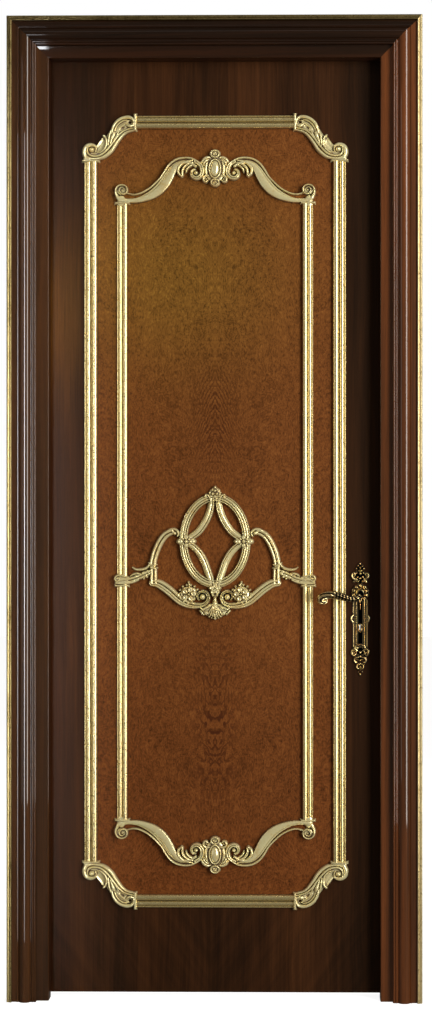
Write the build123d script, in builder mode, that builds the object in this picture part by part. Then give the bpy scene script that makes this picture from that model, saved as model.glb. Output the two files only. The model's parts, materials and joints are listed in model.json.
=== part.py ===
from build123d import *
import os

# Carved interior door: one rebated leaf in its lining, with moulded casings,
# gilded carvings, hinges, mortise lock and lever furniture.
# +X is to the right seen from the carved side, +Y goes away from the viewer
# through the wall, +Z is up. The origin is under the middle of the door, at
# floor level. Depths below are counted from the casing's foremost line.

# ---------------------------------------------------------------- dimensions
depth_total = 175.0          # casing front to the hidden side's lever
y0 = -depth_total / 2        # the casing's foremost line

casing_half = 530.0          # half the width over the casings
casing_top = 2516.0
casing_width = 106.0
open_half = 424.0            # half the clear passage
open_top = 2410.0

casing_back = 34.0           # where the casings meet the wall
fascia_depth = 22.0
gilt_width = 13.0

stop_depth = 64.0            # front of the rebate
rebate = 13.0                # depth of the rebate in the lining
jamb_back = 119.0
jamb_outer = 470.0
jamb_top = 2456.0

leaf_half = 434.0
leaf_bottom = 12.0
leaf_top = 2420.0
leaf_front = 67.0
leaf_back = 117.0
field_depth = 6.0

arch_width = 70.0
arch_inner = 450.0
arch_inner_top = 2436.0
arch_thick = 12.0

bar_outer_x = 320.0
bar_outer_w = 34.0
bar_inner_x = 239.0
bar_inner_w = 27.0
bar_top_z = 2254.0
mirror_z = 1251.0            # the ornament is symmetrical about this height

lever_x = 374.0              # 60 mm backset from the lock edge
lever_z = 1042.0
key_z = 952.0
key_x = lever_x

hinge_z = (260.0, 1240.0, 2200.0)
hinge_names = ("bottom", "middle", "top")
hinge_len = 102.0
hinge_thick = 3.0
knuckle_r = 7.0
pin_r = 4.0
axis_x = -435.5
axis_d = 126.6

fixing_z = (180.0, 800.0, 1640.0, 2300.0)
fixing_r = 4.25
fixing_d = 96.0

latch_z = 1068.0
dead_z = 972.0
lock_mid_d = 92.0

parts = []


def Y(depth):
    """Row Y of a depth behind the casing's foremost line."""
    return y0 + depth


def face_plane(depth):
    """A plane facing the viewer at a depth: local x is X, local y is Z."""
    return Plane(origin=(0, Y(depth), 0), x_dir=(1, 0, 0), z_dir=(0, -1, 0))


def back_plane(depth):
    """A plane facing away from the viewer: local x is -X, local y is Z."""
    return Plane(origin=(0, Y(depth), 0), x_dir=(-1, 0, 0), z_dir=(0, 1, 0))


def keep(builder, name):
    builder.part.label = name
    parts.append((name, builder))


def member_planes(half, top, lengthwise=None):
    """Planes for a three-sided mitred surround: local x runs in from the
    outer edge, local y is depth."""
    return {
        "left": (Plane(origin=(-half, Y(0), 0), x_dir=(1, 0, 0), z_dir=(0, 0, 1)), top),
        "right": (Plane(origin=(half, Y(0), top), x_dir=(-1, 0, 0), z_dir=(0, 0, -1)), top),
        "head": (Plane(origin=(-half, Y(0), top), x_dir=(0, 0, -1), z_dir=(1, 0, 0)), 2 * half),
    }


def mitre(side, half, top):
    """The mitre planes of one member, with the side that is kept."""
    left = Plane(origin=(-half, 0, top), z_dir=(1, 0, 1))
    right = Plane(origin=(half, 0, top), z_dir=(-1, 0, 1))
    return {
        "left": [(left, Keep.BOTTOM)],
        "right": [(right, Keep.BOTTOM)],
        "head": [(left, Keep.TOP), (right, Keep.TOP)],
    }[side]


# ------------------------------------------------------- front casing, mitred
def casing_lines():
    g = gilt_width
    Polyline((g, casing_back), (g, 10), (26, 10), (26, 7.5), (29.5, 7.5), (31, 9))
    ThreePointArc((31, 9), (46, 0), (61, 9))
    Line((61, 9), (63, 9))
    ThreePointArc((63, 9), (66, 6.5), (69, 9))
    ThreePointArc((69, 9), (72, 7.5), (75, 10.5))
    Polyline((75, 10.5), (75, fascia_depth), (101, fascia_depth))
    ThreePointArc((101, fascia_depth), (104.54, fascia_depth + 1.46), (casing_width, fascia_depth + 5))
    Polyline((casing_width, fascia_depth + 5), (casing_width, casing_back), (g, casing_back))


def gilt_lines():
    g = gilt_width
    Polyline((0, casing_back), (0, 7), (1.5, 5), (7.5, 5), (8, 6))
    ThreePointArc((8, 6), (10.5, 3), (g, 6))
    Polyline((g, 6), (g, casing_back), (0, casing_back))


for side in ("left", "right", "head"):
    plane, length = member_planes(casing_half, casing_top)[side]
    with BuildPart() as casing:
        with BuildSketch(plane):
            with BuildLine():
                casing_lines()
            make_face()
        extrude(amount=length)
        for cut, half in mitre(side, casing_half, casing_top):
            split(bisect_by=cut, keep=half)
    keep(casing, f"casing_{side}")

    with BuildPart() as gilt:
        with BuildSketch(plane):
            with BuildLine():
                gilt_lines()
            make_face()
        extrude(amount=length)
        for cut, half in mitre(side, casing_half, casing_top):
            split(bisect_by=cut, keep=half)
    keep(gilt, f"gilt_edge_{side}")

# ------------------------------------------ plain trim round the hidden side
arch_half = arch_inner + arch_width
arch_top = arch_inner_top + arch_width
for side in ("left", "right", "head"):
    plane, length = member_planes(arch_half, arch_top)[side]
    with BuildPart() as arch:
        with BuildSketch(plane):
            with BuildLine():
                b = jamb_back
                Polyline((0, b), (0, b + 9))
                ThreePointArc((0, b + 9), (0.88, b + 11.12), (3, b + arch_thick))
                Line((3, b + arch_thick), (arch_width - 6, b + arch_thick))
                ThreePointArc((arch_width - 6, b + arch_thick), (arch_width - 1.76, b + 10.24), (arch_width, b + 6))
                Polyline((arch_width, b + 6), (arch_width, b), (0, b))
            make_face()
        extrude(amount=length)
        for cut, half in mitre(side, arch_half, arch_top):
            split(bisect_by=cut, keep=half)
    keep(arch, f"architrave_back_{side}")

# ------------------------------------------------------------ rebated lining
jamb_w = jamb_outer - open_half
jamb_y_mid = (casing_back + jamb_back) / 2
jamb_d = jamb_back - casing_back
rebate_face = open_half + rebate

with BuildPart() as jamb_left:
    with BuildSketch(Plane.XY):
        with BuildLine():
            Polyline(
                (-jamb_outer, Y(casing_back)), (-open_half, Y(casing_back)),
                (-open_half, Y(stop_depth)), (-rebate_face, Y(stop_depth)),
                (-rebate_face, Y(jamb_back)), (-jamb_outer, Y(jamb_back)),
                close=True,
            )
        make_face()
    extrude(amount=open_top)
    # fixing holes for the frame screws, hidden behind the leaf's edge
    with BuildSketch(Plane.YZ.offset(-jamb_outer)):
        for z in fixing_z:
            with Locations((Y(fixing_d), z)):
                Circle(fixing_r)
    extrude(amount=jamb_w, mode=Mode.SUBTRACT)
    # housings for the hinge plates
    for hz in hinge_z:
        with BuildSketch(Plane.YZ.offset(-rebate_face)):
            with Locations((Y(jamb_back) - 16.0, hz)):
                Rectangle(32.0, hinge_len + 0.4)
        extrude(amount=-(hinge_thick), mode=Mode.SUBTRACT)
keep(jamb_left, "jamb_left")

strike_thick = 2.0
strike_w = 24.0
strike_z0, strike_z1 = 930.0, 1110.0
strike_mid = (strike_z0 + strike_z1) / 2
latch_h, latch_w = 20.0, 13.0
dead_h, dead_w = 34.0, 12.0

with BuildPart() as jamb_right:
    with BuildSketch(Plane.XY):
        with BuildLine():
            Polyline(
                (jamb_outer, Y(casing_back)), (open_half, Y(casing_back)),
                (open_half, Y(stop_depth)), (rebate_face, Y(stop_depth)),
                (rebate_face, Y(jamb_back)), (jamb_outer, Y(jamb_back)),
                close=True,
            )
        make_face()
    extrude(amount=open_top)
    with BuildSketch(Plane.YZ.offset(rebate_face)):
        for z in fixing_z:
            with Locations((Y(fixing_d), z)):
                Circle(fixing_r)
    extrude(amount=jamb_w, mode=Mode.SUBTRACT)
    # housing for the strike plate and the pockets behind it
    with BuildSketch(Plane.YZ.offset(rebate_face)):
        with Locations((Y(lock_mid_d), strike_mid)):
            Rectangle(strike_w, strike_z1 - strike_z0)
    extrude(amount=strike_thick, mode=Mode.SUBTRACT)
    with BuildSketch(Plane.YZ.offset(rebate_face)):
        with Locations((Y(lock_mid_d), latch_z)):
            Rectangle(latch_w + 5, latch_h + 7)
        with Locations((Y(lock_mid_d), dead_z)):
            Rectangle(dead_w + 6, dead_h + 8)
    extrude(amount=25.0, mode=Mode.SUBTRACT)
    # pilot holes of the strike screws
    with BuildSketch(Plane.YZ.offset(rebate_face)):
        for z in (strike_z0 + 10, strike_z1 - 10):
            with Locations((Y(lock_mid_d), z)):
                Circle(1.9)
    extrude(amount=24.0, mode=Mode.SUBTRACT)
keep(jamb_right, "jamb_right")

with BuildPart() as jamb_head:
    with BuildSketch(Plane.YZ.offset(-jamb_outer)):
        with Locations((Y(jamb_y_mid), (open_top + jamb_top) / 2)):
            Rectangle(jamb_d, jamb_top - open_top)
    extrude(amount=2 * jamb_outer)
    with BuildSketch(Plane.YZ.offset(-rebate_face)):
        with Locations((Y((stop_depth + jamb_back) / 2), open_top + rebate / 2)):
            Rectangle(jamb_back - stop_depth, rebate)
    extrude(amount=2 * rebate_face, mode=Mode.SUBTRACT)
keep(jamb_head, "jamb_head")

# ----------------------------------------------------- seals in the rebate
seal_w, seal_t = 9.0, 2.7
seal_out = rebate_face - 0.5
with BuildPart() as rebate_seal:
    # one length of seal bent round the rebate's three sides
    with BuildSketch(face_plane(stop_depth + seal_t)):
        with BuildLine():
            Polyline(
                (-seal_out, 0), (-seal_out, open_top + rebate - 0.5), (seal_out, open_top + rebate - 0.5), (seal_out, 0),
                (seal_out - seal_w, 0), (seal_out - seal_w, open_top + rebate - 0.5 - seal_w),
                (-seal_out + seal_w, open_top + rebate - 0.5 - seal_w), (-seal_out + seal_w, 0), close=True,
            )
        make_face()
    extrude(amount=seal_t)
    chamfer(rebate_seal.edges().filter_by(Axis.Z).group_by(Axis.X)[1] + rebate_seal.edges().filter_by(Axis.Z).group_by(Axis.X)[-2], 0.6)
keep(rebate_seal, "rebate_seal")

# ------------------------------------------------------------------- the leaf
leaf_w = 2 * leaf_half
leaf_h = leaf_top - leaf_bottom
leaf_t = leaf_back - leaf_front
leaf_mid_d = (leaf_front + leaf_back) / 2

# outline of the burr field: it runs under the outer mouldings, and its
# corners are cut in under the corner scrolls
corner_cut = [(-320, 2160), (-290, 2183), (-267, 2212), (-245, 2240), (-205, 2254)]


def field_outline(grow):
    tl = [(x - grow, z + grow) for x, z in corner_cut]
    tr = [(-x, z) for x, z in reversed(tl)]
    br = [(x, 2 * mirror_z - z) for x, z in reversed(tr)]
    bl = [(-x, z) for x, z in reversed(br)]
    return tl + tr + br + bl


case_w, case_h, case_t = 86.0, 168.0, 15.0      # lock case: into the leaf, high, thick
case_z0 = 920.0
case_mid_z = case_z0 + case_h / 2
forend_w, forend_h, forend_t = 20.0, 236.0, 3.0
forend_mid_z = case_mid_z
case_in = leaf_half - forend_t - case_w         # inner end of the case

with BuildPart() as door_leaf:
    with BuildSketch(Plane.XY.offset(leaf_bottom)):
        with Locations((0, Y(leaf_mid_d))):
            Rectangle(leaf_w, leaf_t)
    extrude(amount=leaf_h)
    chamfer(door_leaf.edges().filter_by(Axis.Z), 1.2)
    # shallow recess for the veneered field
    with BuildSketch(face_plane(leaf_front + field_depth)):
        with BuildLine():
            Polyline(*field_outline(0.2), close=True)
        make_face()
    extrude(amount=field_depth, mode=Mode.SUBTRACT)
    # mortise for the lock case and housing for its forend
    with BuildSketch(Plane.YZ.offset(leaf_half)):
        with Locations((Y(lock_mid_d), case_mid_z)):
            Rectangle(case_t + 1.0, case_h + 1.0)
    extrude(amount=-(case_w + forend_t + 1.0), mode=Mode.SUBTRACT)
    with BuildSketch(Plane.YZ.offset(leaf_half)):
        with Locations((Y(lock_mid_d), forend_mid_z)):
            Rectangle(forend_w, forend_h)
    extrude(amount=-forend_t, mode=Mode.SUBTRACT)
    with BuildSketch(Plane.YZ.offset(leaf_half - forend_t)):
        for z in (forend_mid_z - forend_h / 2 + 9, forend_mid_z + forend_h / 2 - 9):
            with Locations((Y(lock_mid_d), z)):
                Circle(1.9)
    extrude(amount=-24.0, mode=Mode.SUBTRACT)
    # spindle hole and keyhole, right through
    with BuildSketch(face_plane(leaf_back)):
        with Locations((lever_x, lever_z)):
            Circle(9.0)
        with Locations((key_x, key_z)):
            SlotOverall(20.0, 8.0, rotation=90)
    extrude(amount=leaf_t, mode=Mode.SUBTRACT)
    # screw holes of the handle plates, right through
    with BuildSketch(face_plane(leaf_back)):
        for z in (1098.0, 850.0):
            with Locations((lever_x, z)):
                Circle(2.3)
    extrude(amount=leaf_t, mode=Mode.SUBTRACT)
    # housings for the hinge plates
    for hz in hinge_z:
        with BuildSketch(Plane.YZ.offset(-leaf_half)):
            with Locations((Y(leaf_back) - 15.0, hz)):
                Rectangle(30.0, hinge_len + 0.4)
        extrude(amount=hinge_thick, mode=Mode.SUBTRACT)
keep(door_leaf, "door_leaf")

with BuildPart() as field_panel:
    with BuildSketch(face_plane(leaf_front + field_depth)):
        with BuildLine():
            Polyline(*field_outline(0), close=True)
        make_face()
    extrude(amount=field_depth)
keep(field_panel, "field_panel")


# -------------------------------------------------------- gilded mouldings
def bar_lines(w):
    """Section of a moulding: a thin outer fillet, a flat bead and a bold
    inner bead. Local x runs from the outer edge in, local y is height."""
    k = w / 34.0
    Polyline((0, 0), (0, 4.2), (1.6 * k, 5), (3.2 * k, 4), (4.4 * k, 3))
    ThreePointArc((4.4 * k, 3), (10.4 * k, 8.2), (16.4 * k, 3.2))
    Line((16.4 * k, 3.2), (18.6 * k, 3.2))
    ThreePointArc((18.6 * k, 3.2), (26 * k, 12), (33.2 * k, 3))
    Polyline((33.2 * k, 3), (34 * k, 2.2), (34 * k, 0), (0, 0))


v_z0, v_z1 = 349.0, 2153.0
iv_z0, iv_z1 = 458.0, 2044.0
h_x = 203.0
for name, x, sx, w, z0, z1 in (
    ("bar_outer_left", -bar_outer_x, 1, bar_outer_w, v_z0, v_z1),
    ("bar_outer_right", bar_outer_x, -1, bar_outer_w, v_z0, v_z1),
    ("bar_inner_left", -bar_inner_x, 1, bar_inner_w, iv_z0, iv_z1),
    ("bar_inner_right", bar_inner_x, -1, bar_inner_w, iv_z0, iv_z1),
):
    # local y points at the viewer, so the plane's normal is down for the
    # left-hand bars and up for the right-hand ones
    start = z1 if sx == 1 else z0
    with BuildPart() as bar:
        with BuildSketch(Plane(origin=(x - sx * w / 2, Y(leaf_front), start), x_dir=(sx, 0, 0), z_dir=(0, 0, -sx))):
            with BuildLine():
                bar_lines(w)
            make_face()
        extrude(amount=z1 - z0)
    keep(bar, name)

for name, z, sz in (("bar_outer_top", bar_top_z, -1), ("bar_outer_bottom", 2 * mirror_z - bar_top_z, 1)):
    start = h_x if sz == -1 else -h_x
    with BuildPart() as bar:
        with BuildSketch(Plane(origin=(start, Y(leaf_front), z - sz * bar_outer_w / 2), x_dir=(0, 0, sz), z_dir=(sz, 0, 0))):
            with BuildLine():
                bar_lines(bar_outer_w)
            make_face()
        extrude(amount=2 * h_x)
    keep(bar, name)


# ---------------------------------------------------------------- carvings
def flip(points, mx, mz):
    out = [((-x if mx else x), (2 * mirror_z - z if mz else z)) for x, z in points]
    return out


def spot(x, z, mx, mz):
    return flip([(x, z)], mx, mz)[0]


corner_outline = [
    (-341, 2153.3), (-341, 2160.8), (-341.5, 2171), (-341.5, 2181.4), (-337, 2191.6), (-328, 2197.6), (-319, 2198.6),
    (-308.7, 2194.2), (-303.5, 2192.9), (-295.8, 2199.4), (-290.7, 2208.4), (-284.9, 2222.5), (-280.5, 2216.1),
    (-273.5, 2221.2), (-270, 2232.8), (-264.1, 2245.7), (-255.9, 2256.9), (-244.6, 2264.4), (-234.4, 2269.5),
    (-222.8, 2271.6), (-213.8, 2270.5), (-209.5, 2268), (-209.3, 2275), (-203.3, 2275), (-203.3, 2233), (-209.2, 2235),
    (-222.6, 2229.2), (-236.7, 2217.4), (-248.8, 2203), (-260.6, 2186.5), (-272.6, 2169.8), (-289, 2160),
    (-299, 2159.5), (-299, 2153.3),
]
swag_outline = [
    (-257.5, 2044.3), (-257.5, 2049), (-253.5, 2060.5), (-260, 2072), (-260, 2084.9), (-252.5, 2093.9), (-241.5, 2097),
    (-229.9, 2092.3), (-223.5, 2082), (-224.5, 2072.5), (-219.5, 2069.7), (-191.2, 2072.8), (-172.2, 2079.9),
    (-153.2, 2091.7), (-134.3, 2108.5), (-119.9, 2129.8), (-105.9, 2149.5), (-89.2, 2160.3), (-67.8, 2163.6),
    (-46.5, 2156.4), (-34.6, 2146.4), (-30, 2132.5), (-30.6, 2118.3), (-38.3, 2108.8), (-48.6, 2105.6),
    (-58.9, 2110.9), (-63.6, 2122.2), (-62, 2132.5), (-62.6, 2138.4), (-70.1, 2140.2), (-73.4, 2136.3),
    (-74.7, 2124.8), (-82.1, 2108.9), (-90.5, 2123.5), (-92.1, 2132.8), (-100.9, 2123.8), (-112.9, 2102.2),
    (-134.2, 2078.5), (-160.3, 2061.8), (-195.8, 2048.7), (-221, 2046.3), (-221, 2044.3),
]
cart_half = [
    (0, 2183), (-10.3, 2180.6), (-14.1, 2171.1), (-12.5, 2165), (-21.8, 2163.6), (-27.5, 2158.6), (-28.5, 2146.6),
    (-26.5, 2140.2), (-24.3, 2129.9), (-28, 2117.1), (-28, 2106.2), (-21, 2099), (-12.5, 2102.9),
    (-13.1, 2093.9), (-7.4, 2087.5), (0, 2086),
]
cart_outline = cart_half + [(-x, z) for x, z in reversed(cart_half[1:-1])]

for vert, mz in (("top", False), ("bottom", True)):
    for side, mx in (("left", False), ("right", True)):
        with BuildPart() as corner:
            with BuildSketch(face_plane(leaf_front)):
                with BuildLine():
                    Polyline(*flip(corner_outline, mx, mz), close=True)
                make_face()
            extrude(amount=13.0)
            with BuildSketch(face_plane(leaf_front)):
                with Locations(spot(-316.5, 2176.5, mx, mz)):
                    Circle(18.0)
                with Locations(spot(-222.0, 2252.0, mx, mz)):
                    Circle(13.0)
            extrude(amount=19.0, taper=14)
        keep(corner, f"corner_scroll_{vert}_{side}")
        with BuildPart() as swag:
            with BuildSketch(face_plane(leaf_front)):
                with BuildLine():
                    Polyline(*flip(swag_outline, mx, mz), close=True)
                make_face()
            extrude(amount=11.0)
            with BuildSketch(face_plane(leaf_front)):
                with Locations(spot(-241.5, 2079.5, mx, mz)):
                    Circle(15.0)
                with Locations(spot(-47.0, 2124.5, mx, mz)):
                    Circle(14.0)
            extrude(amount=19.0, taper=14)
        keep(swag, f"swag_{vert}_{side}")
    with BuildPart() as cart:
        with BuildSketch(face_plane(leaf_front)):
            with BuildLine():
                Polyline(*flip(cart_outline, False, mz), close=True)
            make_face()
        extrude(amount=12.0)
        with BuildSketch(face_plane(leaf_front)):
            with Locations(spot(0, 2133.5, False, mz)):
                Ellipse(15.5, 22.5)
        extrude(amount=17.0)
        with BuildSketch(face_plane(leaf_front)):
            with Locations(spot(0, 2133.5, False, mz)):
                Ellipse(10.0, 16.0)
        extrude(amount=22.0)
    keep(cart, f"cartouche_{vert}")

# centre carving: an upright oval ring crossed by four inward-curving arcs
oval_z = 1176.0
oval_rx, oval_rz = 91.0, 121.0
band = 19.0
with BuildPart() as centre_oval:
    with BuildSketch(face_plane(leaf_front)):
        with Locations((0, oval_z)):
            Ellipse(oval_rx, oval_rz)
            Ellipse(oval_rx - band, oval_rz - band, mode=Mode.SUBTRACT)
    extrude(amount=13.0)
    with BuildSketch(face_plane(leaf_front)):
        for sx in (-1, 1):
            with BuildLine():
                ThreePointArc((sx * 7.0, 1290), (sx * 20.0, 1228), (sx * 72, 1177))
            trace(line_width=16.0)
            with BuildLine():
                ThreePointArc((sx * 72, 1175), (sx * 22.0, 1125), (sx * 8.0, 1062))
            trace(line_width=16.0)
    extrude(amount=11.0)
    # side rosettes and the finial
    with BuildSketch(face_plane(leaf_front)):
        with Locations((-74, oval_z - 2), (74, oval_z - 2)):
            Ellipse(20.0, 13.0)
        with BuildLine():
            Polyline((-20, 1286), (-12, 1300), (-5, 1311), (0, 1318), (5, 1311), (12, 1300), (20, 1286), (8, 1276), (-8, 1276), close=True)
        make_face()
    extrude(amount=18.0)
keep(centre_oval, "centre_oval")

# side brackets: a C-shaped stem, a collar, a lower band running in to a
# volute, and the clasp that holds the inner moulding
stem = [(-103, 1203), (-115, 1200.5), (-127, 1194), (-143.6, 1175.2), (-154.3, 1149), (-158.6, 1122.7), (-158.3, 1108.8), (-157.2, 1088.3), (-155.6, 1074)]
lower = [(-162, 1073.5), (-150.5, 1071.5), (-134.5, 1063), (-113.3, 1044.2), (-92.2, 1025), (-65.9, 1012), (-42.2, 1010.5), (-33, 1014)]
clasp = [
    (-224.5, 1099.5), (-253.2, 1099.5), (-256.5, 1093), (-256.5, 1074), (-253.2, 1068.5), (-224.5, 1068.5), (-205, 1078),
    (-182, 1068), (-166, 1066), (-150, 1078), (-150, 1100), (-166, 1106), (-186, 1110), (-208, 1113.5), (-212, 1107),
]
clasp_cut = bar_inner_w / 2 + 0.1
for side, mx in (("left", False), ("right", True)):
    with BuildPart() as arm:
        with BuildSketch(face_plane(leaf_front)):
            with BuildLine():
                Polyline(*flip(stem, mx, False))
            trace(line_width=15.0)
            with BuildLine():
                Polyline(*flip(lower, mx, False))
            trace(line_width=21.0)
            with BuildLine():
                Polyline(*flip(clasp, mx, False), close=True)
            make_face()
        extrude(amount=12.0)
        with BuildSketch(face_plane(leaf_front)):
            with Locations(spot(-33.0, 1030.5, mx, False)):
                Circle(16.5)
        extrude(amount=18.0, taper=14)
        with BuildSketch(face_plane(leaf_front)):
            with Locations(spot(-103, 1196, mx, False)):
                Circle(7.0)
            with Locations(spot(-158.3, 1110, mx, False)):
                Rectangle(22.0, 10.0)
        extrude(amount=14.5)
        # the clasp bridges the inner moulding
        with BuildSketch(face_plane(leaf_front)):
            with Locations(spot(-239.0, 1084, mx, False)):
                Rectangle(35.0, 31.0)
        extrude(amount=16.5)
        with BuildSketch(face_plane(leaf_front)):
            with Locations(spot(-bar_inner_x, 1084, mx, False)):
                Rectangle(2 * clasp_cut, 60.0)
        extrude(amount=12.3, mode=Mode.SUBTRACT)
    keep(arm, f"centre_arm_{side}")

    with BuildPart() as flower:
        with BuildSketch(face_plane(leaf_front + 0.0)):
            with Locations(spot(-66.0, 1038.5, mx, False)):
                Circle(14.0)
                with PolarLocations(15.0, 6):
                    Circle(8.5)
        extrude(amount=18.0)
        with BuildSketch(face_plane(leaf_front - 17.0)):
            with Locations(spot(-66.0, 1038.5, mx, False)):
                Circle(8.0)
        extrude(amount=7.0, taper=20)
        # it is let in round the bracket's lower band and volute
        with BuildSketch(face_plane(leaf_front)):
            with BuildLine():
                Polyline(*flip(lower, mx, False))
            trace(line_width=21.6)
        extrude(amount=12.2, mode=Mode.SUBTRACT)
        with BuildSketch(face_plane(leaf_front)):
            with Locations(spot(-33.0, 1030.5, mx, False)):
                Circle(16.9)
        extrude(amount=30.0, mode=Mode.SUBTRACT)
    keep(flower, f"centre_flower_{side}")

with BuildPart() as centre_shell:
    with BuildSketch(face_plane(leaf_front)):
        with BuildLine():
            Polyline(
                (-10, 1066), (10, 1066), (12, 1050), (9, 1036), (10, 1016), (26, 1010), (40, 1004), (36, 992), (22, 984),
                (10, 980), (0, 973), (-10, 980), (-22, 984), (-36, 992), (-40, 1004), (-26, 1010), (-10, 1016),
                (-9, 1036), (-12, 1050), close=True,
            )
        make_face()
    extrude(amount=13.0)
    with BuildSketch(face_plane(leaf_front)):
        with Locations((0, 1052)):
            Circle(12.0)
        with Locations((0, 1028)):
            Circle(7.5)
        with Locations((0, 996)):
            Ellipse(15.0, 19.0)
    extrude(amount=18.0)
    # it is let in over the ring's foot and between the two volutes
    with BuildSketch(face_plane(leaf_front)):
        with Locations((0, oval_z)):
            Ellipse(oval_rx + 0.3, oval_rz + 0.3)
    extrude(amount=13.3, mode=Mode.SUBTRACT)
    with BuildSketch(face_plane(leaf_front)):
        for sx in (-1, 1):
            with Locations((sx * 33.0, 1030.5)):
                Circle(16.9)
            with BuildLine():
                Polyline(*[(sx * -x, z) for x, z in lower])
            trace(line_width=21.6)
    extrude(amount=30.0, mode=Mode.SUBTRACT)
keep(centre_shell, "centre_shell")

# ------------------------------------------------------------------- hinges
kn = hinge_len / 3.0
gap = 0.4
for name, hz in zip(hinge_names, hinge_z):
    z0 = hz - hinge_len / 2
    with BuildPart() as frame_plate:
        # plate let into the rebate, wrapped to the knuckles
        with BuildSketch(Plane.XY.offset(z0)):
            with Locations((-rebate_face - hinge_thick / 2, Y((jamb_back - 31.8 + axis_d) / 2))):
                Rectangle(hinge_thick, axis_d - jamb_back + 31.8)
        extrude(amount=hinge_len)
        with BuildSketch(Plane.XY.offset(z0)):
            with Locations((axis_x, Y(axis_d))):
                Circle(knuckle_r)
        extrude(amount=hinge_len)
        with BuildSketch(Plane.XY.offset(z0 + kn)):
            with Locations((axis_x, Y(axis_d))):
                Circle(knuckle_r + 0.6)
        extrude(amount=kn, mode=Mode.SUBTRACT)
        with BuildSketch(Plane.XY.offset(z0)):
            with Locations((axis_x, Y(axis_d))):
                Circle(pin_r + 0.05)
        extrude(amount=hinge_len, mode=Mode.SUBTRACT)
        with BuildSketch(Plane.YZ.offset(-rebate_face)):
            with Locations((Y(jamb_back) - 20, hz - 38), (Y(jamb_back) - 12, hz), (Y(jamb_back) - 20, hz + 38)):
                Circle(2.6)
        extrude(amount=-(hinge_thick + 1), mode=Mode.SUBTRACT)
    keep(frame_plate, f"hinge_{name}_frame_plate")

    with BuildPart() as leaf_plate:
        with BuildSketch(Plane.XY.offset(z0)):
            with Locations((-leaf_half + hinge_thick / 2, Y((leaf_back - 29.8 + axis_d) / 2))):
                Rectangle(hinge_thick, axis_d - leaf_back + 29.8)
        extrude(amount=hinge_len)
        for zz in (z0, z0 + 2 * kn):
            with BuildSketch(Plane.XY.offset(zz - gap)):
                with Locations((axis_x, Y(axis_d))):
                    Circle(knuckle_r + 0.6)
            extrude(amount=kn + 2 * gap, mode=Mode.SUBTRACT)
        with BuildSketch(Plane.XY.offset(z0 + kn + gap)):
            with Locations((axis_x, Y(axis_d))):
                Circle(knuckle_r)
        extrude(amount=kn - 2 * gap)
        with BuildSketch(Plane.XY.offset(z0)):
            with Locations((axis_x, Y(axis_d))):
                Circle(pin_r + 0.05)
        extrude(amount=hinge_len, mode=Mode.SUBTRACT)
        with BuildSketch(Plane.YZ.offset(-leaf_half)):
            with Locations((Y(leaf_back) - 19, hz - 38), (Y(leaf_back) - 11, hz), (Y(leaf_back) - 19, hz + 38)):
                Circle(2.6)
        extrude(amount=hinge_thick + 1, mode=Mode.SUBTRACT)
    keep(leaf_plate, f"hinge_{name}_leaf_plate")

    with BuildPart() as hinge_pin:
        with BuildSketch(Plane.XZ.offset(-Y(axis_d))):
            with BuildLine():
                # half section of the pin with a turned finial at each end
                zt = z0 + hinge_len
                finial = [(0, 13), (2.2, 12.4), (3.8, 10.8), (4.2, 8.8), (3.6, 6.6), (2.6, 5), (6.0, 4), (6.6, 3), (6.6, 0.2), (pin_r, 0.2)]
                upper = [(axis_x + r, zt + h) for r, h in finial]
                under = [(axis_x + r, z0 - h) for r, h in reversed(finial)]
                Polyline(*upper, *under, close=True)
            make_face()
        revolve(axis=Axis((axis_x, Y(axis_d), 0), (0, 0, 1)))
    keep(hinge_pin, f"hinge_{name}_pin")

with BuildPart() as wood_screws_frame:
    # countersunk wood screws, heads flush: the hinges' and the strike's
    for hz in hinge_z:
        for dy, dz in ((20, -38), (12, 0), (20, 38)):
            with BuildSketch(Plane.YZ.offset(-rebate_face)):
                with Locations((Y(jamb_back) - dy, hz + dz)):
                    Circle(2.5)
            extrude(amount=-hinge_thick)
    for z in (strike_z0 + 10, strike_z1 - 10):
        with BuildSketch(Plane.YZ.offset(rebate_face)):
            with Locations((Y(lock_mid_d), z)):
                Circle(2.0)
        extrude(amount=strike_thick)
        with BuildSketch(Plane.YZ.offset(rebate_face + strike_thick)):
            with Locations((Y(lock_mid_d), z)):
                Circle(1.8)
        extrude(amount=20.0)
keep(wood_screws_frame, "wood_screws_frame")

with BuildPart() as wood_screws_leaf:
    # the same screws in the leaf: the hinges' and the lock forend's
    for hz in hinge_z:
        for dy, dz in ((19, -38), (11, 0), (19, 38)):
            with BuildSketch(Plane.YZ.offset(-leaf_half)):
                with Locations((Y(leaf_back) - dy, hz + dz)):
                    Circle(2.5)
            extrude(amount=hinge_thick)
    for z in (forend_mid_z - forend_h / 2 + 9, forend_mid_z + forend_h / 2 - 9):
        with BuildSketch(Plane.YZ.offset(leaf_half)):
            with Locations((Y(lock_mid_d), z)):
                Circle(2.0)
        extrude(amount=-forend_t)
        with BuildSketch(Plane.YZ.offset(leaf_half - forend_t)):
            with Locations((Y(lock_mid_d), z)):
                Circle(1.8)
        extrude(amount=-22.0)
keep(wood_screws_leaf, "wood_screws_leaf")

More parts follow.
